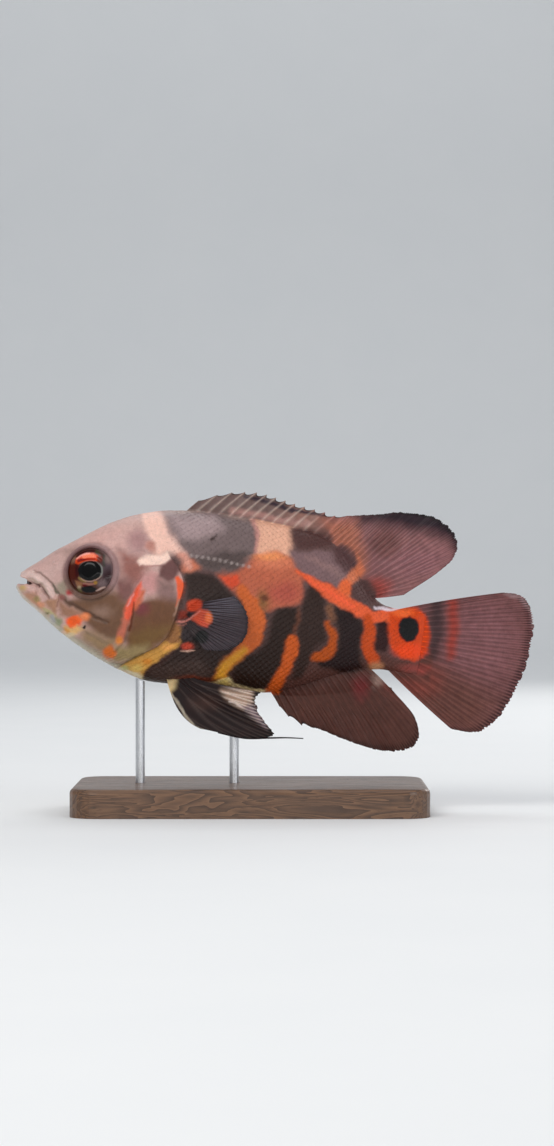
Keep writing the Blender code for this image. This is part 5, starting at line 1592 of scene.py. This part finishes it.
def stage_material():
    nodes = Nodes("stage_pale")
    base = nodes.mix(nodes.noise(60.0, 2.0), (0.79, 0.80, 0.81, 1), (0.82, 0.825, 0.83, 1))
    nodes.set(Base_Color=base, Roughness=0.85)
    return nodes.material


def put(made, material, slot_name, *nodes_replaced):
    """Gives a piece its material, lets it ride on the part and hides the parts that it stands for.
    """
    made.data.materials.clear()
    made.data.materials.append(material)
    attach(made, "root")
    if nodes_replaced:
        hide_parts(*nodes_replaced)


def add_area(name, place, aim, size, power, tone):
    light = bpy.data.lights.new(name, "AREA")
    light.shape, light.size, light.size_y = "RECTANGLE", size[0], size[1]
    light.energy, light.color = power, tone
    made = bpy.data.objects.new(name, light)
    bpy.context.scene.collection.objects.link(made)
    made.location = place
    made.rotation_euler = (Vector(aim) - Vector(place)).to_track_quat("-Z", "Y").to_euler()


def make_stage():
    """A pale floor that curves up into a pale backdrop."""
    profile = [(STAGE_FRONT, 0.0), (STAGE_BEND, 0.0)]
    profile += [
        (STAGE_BEND + STAGE_ROUNDING * math.sin(a), STAGE_ROUNDING * (1 - math.cos(a)))
        for a in np.linspace(0.1, math.pi / 2, 16)
    ]
    profile += [(STAGE_BEND + STAGE_ROUNDING, STAGE_TOP)]
    points = [(x, y, z) for y, z in profile for x in (-STAGE_HALF_WIDTH, STAGE_HALF_WIDTH)]
    faces = [(2 * i, 2 * i + 1, 2 * i + 3, 2 * i + 2) for i in range(len(profile) - 1)]
    floor = mesh_from("stage_floor", np.array(points), faces)
    floor.data.materials.append(stage_material())


def make_camera():
    """Looks square at the fish's left side and keeps the photo's framing."""
    centre_x = NOSE_PLACE[0] + (PHOTO_SIZE[0] / 2 - PHOTO_NOSE[0]) * MM_PER_PIXEL
    centre_z = NOSE_PLACE[2] + (PHOTO_NOSE[1] - PHOTO_SIZE[1] / 2) * MM_PER_PIXEL
    data = bpy.data.cameras.new("camera")
    camera = bpy.data.objects.new("camera", data)
    bpy.context.scene.collection.objects.link(camera)
    camera.location = (centre_x * MM, -CAMERA_DISTANCE, centre_z * MM)
    camera.rotation_euler = (math.pi / 2, 0, 0)
    data.sensor_fit = "VERTICAL"
    data.sensor_height = 36.0
    data.lens = 36.0 * CAMERA_DISTANCE / (PHOTO_SIZE[1] * MM_PER_PIXEL * MM)
    data.clip_start = 0.01
    bpy.context.scene.camera = camera


def make_lights():
    for name, settings in LIGHTS.items():
        add_area(name, *settings)
    world = bpy.data.worlds.new("world")
    world.use_nodes = True
    background = world.node_tree.nodes["Background"].inputs
    background["Color"].default_value = WORLD_COLOUR
    background["Strength"].default_value = WORLD_STRENGTH
    bpy.context.scene.world = world
    bpy.context.scene.view_settings.view_transform = "Standard"


def main():
    make_camera()
    make_lights()
    make_stage()
    skin = shaped_skin()
    skin_tree = BVHTree.FromObject(skin, bpy.context.evaluated_depsgraph_get())
    covered = ("head", "gill_cover_left", "gill_cover_right", "torso", "tail")
    put(skin, skin_material(), "torso", *covered)
    scaled = scale_material()
    for name, side, seed in (("scales_left", -1, 41), ("scales_right", 1, 42)):
        for piece in make_scales(name, side, skin_tree, seed):
            put(piece, scaled, "torso")
    fins = fin_material()
    put(make_dorsal(), fins, "dorsal_fin", "dorsal_fin")
    put(make_anal(), fins, "anal_fin", "anal_fin")
    put(make_caudal(), fins, "caudal_fin", "caudal_fin")
    for word, side in (("left", -1), ("right", 1)):
        node = f"pectoral_fin_{word}"
        put(make_pectoral(node + "_skin", side), fins, "pectoral_fins", node)
    for word, side, tips in (("left", -1, PELVIC_TIPS_LEFT), ("right", 1, PELVIC_TIPS_RIGHT)):
        node = f"pelvic_fin_{word}"
        put(make_pelvic(node + "_skin", side, tips, side < 0), fins, "pelvic_fins", node)
    eyes = eye_material()
    for word, side in (("left", -1), ("right", 1)):
        put(make_eye(f"eye_{word}_ball", side), eyes, "eyes", f"eye_{word}")
    wood, steel = wood_material(), steel_material()
    for node in ("stand_base", "stand_rod_front", "stand_rod_rear"):
        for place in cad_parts[node].material_slots:
            place.material = wood if node == "stand_base" else steel


main()
